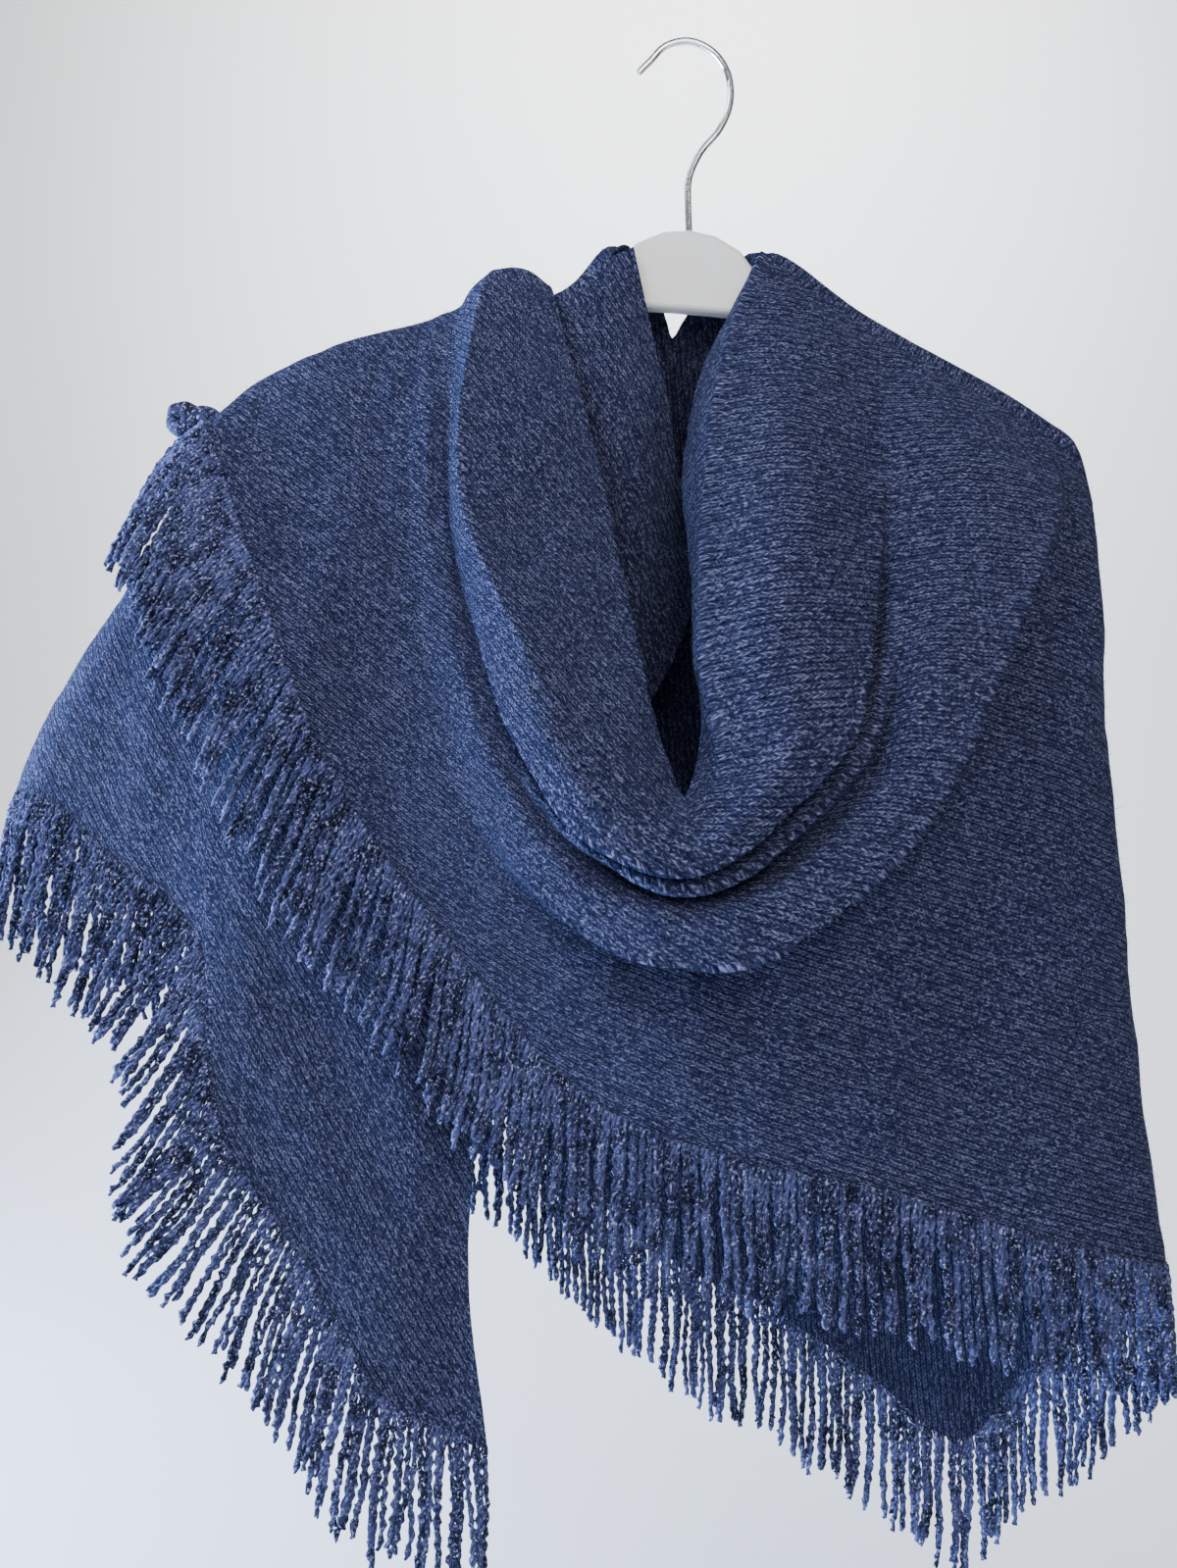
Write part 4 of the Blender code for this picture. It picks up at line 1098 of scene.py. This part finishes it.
def tube(path, radii, sides):
    """A closed tube round the path."""
    forward = unit(np.gradient(path, axis=0))
    first = unit(np.cross(forward, np.array([0.13, 0.97, 0.21])))
    second = np.cross(forward, first)
    rounds = np.arange(sides) * FULL_TURN / sides
    ring = first[:, None] * np.cos(rounds)[:, None] + second[:, None] * np.sin(rounds)[:, None]
    points = path[:, None] + ring * radii[:, None, None]
    number = np.arange(len(path) * sides).reshape(len(path), sides)
    ends = [number[-1].tolist(), number[0, ::-1].tolist()]
    return points.reshape(-1, 3), tube_cells(number).tolist() + ends


class SHAWL_OT_knot(bpy.types.Operator):
    """Curls the knot at the wrap's tip on the left shoulder"""
    bl_idname = "shawl.knot"
    bl_label = "Tie the knot"

    def execute(self, context):
        turn = np.linspace(-0.6, FULL_TURN * KNOT_TURNS, 70)
        reach = 5.8 - 0.26 * turn
        curl = np.stack(
            [reach * np.cos(turn + 0.2), 1.6 * np.sin(turn * 0.7), reach * np.sin(turn + 0.2)], axis=1)
        curl += np.array(KNOT_CENTRE, float)
        neck = spline([*KNOT_NECK, curl[0]], [12, 12])
        path = np.concatenate([neck[:-1], curl])
        rough = smooth_noise(path, 5, 9)
        at, radii = zip(*KNOT_RADII, (len(path), KNOT_LAST_RADIUS))
        broad = np.interp(np.arange(len(path)), at, radii)
        points, faces = tube(path, broad + 0.6 * rough, 16)
        knot = place("shawl_tip_curl", points, faces)
        yarn = yarn_material("curled tip yarn", context.scene.shawl_knit, KNOT_BRIGHTER)
        knot.data.materials.append(yarn)
        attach(knot, "root")
        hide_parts("shawl_tip_knot")
        return {"FINISHED"}


class SHAWL_OT_hanger(bpy.types.Operator):
    """Finishes the hanger's body and hook"""
    bl_idname = "shawl.hanger"
    bl_label = "Dress the hanger"

    def execute(self, context):
        plastic = plastic_material(context.scene.shawl_hanger.plastic)
        for name, made in (("hanger_body", plastic), ("hanger_hook", chrome_material())):
            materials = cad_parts[name].data.materials
            materials.clear()
            materials.append(made)
        return {"FINISHED"}


class SHAWL_OT_declare(bpy.types.Operator):
    """A step that does nothing"""
    bl_idname = "shawl.declare"
    bl_label = "State the flat cut"

    def execute(self, context):
        return {"FINISHED"}


def add_floor(low):
    """The pale floor with its coved wall."""
    profile = [(FLOOR_FRONT, low), (COVE_START, low)]
    profile += [(COVE_START + COVE_RADIUS * math.sin(a), low + COVE_RADIUS * (1 - math.cos(a)))
                for a in np.linspace(0.1, math.pi / 2, 14)]
    profile += [(COVE_START + COVE_RADIUS, WALL_TOP)]
    points = [(x / MM, y / MM, z / MM) for y, z in profile for x in (-FLOOR_HALF_WIDTH, FLOOR_HALF_WIDTH)]
    faces = [(2 * k, 2 * k + 1, 2 * k + 3, 2 * k + 2) for k in range(len(profile) - 1)]
    floor = place("stage_floor", points, faces)
    made, tree, shader = new_material("pale studio paper", 0.9)
    paper = noise(tree, object_place(tree), 3, 2)["Fac"]
    tree.links.new(blend(tree, paper, (0.83, 0.84, 0.84), (0.87, 0.875, 0.87)), shader.inputs["Base Color"])
    floor.data.materials.append(made)


def add_lamp(name, power, size, spot, aim, colour):
    """A square lamp that faces the point it is aimed at."""
    light = bpy.data.lights.new(name, "AREA")
    light.energy = power
    light.size = size
    light.color = colour
    lamp = bpy.data.objects.new(name, light)
    across, away, up = np.array(aim) - np.array(spot)
    pitch = math.atan2(math.hypot(across, away), -up)
    yaw = math.atan2(across, -away)
    lamp.location = spot
    lamp.rotation_euler = (pitch, 0, yaw + math.pi)
    bpy.context.scene.collection.objects.link(lamp)


class SHAWL_OT_stage(bpy.types.Operator):
    """Lays the plain pale floor with its coved wall, the soft lights and the camera"""
    bl_idname = "shawl.stage"
    bl_label = "Set the stage"

    def execute(self, context):
        settings = context.scene.shawl_stage
        add_floor(settings.floor_height)
        for name, *lamp in LAMPS:
            add_lamp(name, getattr(settings, name), *lamp)
        world = bpy.data.worlds.new("soft studio")
        world.use_nodes = True
        background = world.node_tree.nodes["Background"]
        background.inputs["Color"].default_value = WORLD_COLOUR
        background.inputs["Strength"].default_value = WORLD_STRENGTH
        context.scene.world = world
        camera = bpy.data.cameras.new("photo view")
        camera.lens = CAMERA_LENS
        camera.sensor_width = CAMERA_SENSOR
        eye = bpy.data.objects.new("photo view", camera)
        eye.location = CAMERA_PLACE
        eye.rotation_euler = (math.radians(90), 0, 0)
        context.scene.collection.objects.link(eye)
        context.scene.camera = eye
        return {"FINISHED"}


class SHAWL_PT_panel(bpy.types.Panel):
    bl_idname = "SHAWL_PT_panel"
    bl_label = "Knit shawl"
    bl_space_type = "VIEW_3D"
    bl_region_type = "UI"
    bl_category = "Shawl"

    def draw(self, context):
        for group in (context.scene.shawl_knit, context.scene.shawl_fringe,
                      context.scene.shawl_hanger, context.scene.shawl_stage):
            box = self.layout.box()
            for name in group.__annotations__:
                box.prop(group, name)
        for operator in OPERATORS:
            self.layout.operator(operator.bl_idname)


GROUPS = (("shawl_knit", ShawlKnit), ("shawl_fringe", ShawlFringe), ("shawl_hanger", ShawlHanger),
          ("shawl_stage", ShawlStage))
OPERATORS = (SHAWL_OT_stage, SHAWL_OT_cloth, SHAWL_OT_nap, SHAWL_OT_fringe, SHAWL_OT_knot, SHAWL_OT_hanger,
             SHAWL_OT_declare)


def register():
    for name, group in GROUPS:
        bpy.utils.register_class(group)
        setattr(bpy.types.Scene, name, bpy.props.PointerProperty(type=group))
    for kind in (*OPERATORS, SHAWL_PT_panel):
        bpy.utils.register_class(kind)


def unregister():
    for kind in reversed((*OPERATORS, SHAWL_PT_panel)):
        bpy.utils.unregister_class(kind)
    for name, group in reversed(GROUPS):
        delattr(bpy.types.Scene, name)
        bpy.utils.unregister_class(group)


def main():
    register()
    bpy.ops.shawl.stage()
    bpy.ops.shawl.cloth()
    bpy.ops.shawl.nap()
    bpy.ops.shawl.fringe()
    bpy.ops.shawl.knot()
    bpy.ops.shawl.hanger()
    bpy.ops.shawl.declare()


if __name__ == "__main__":
    main()
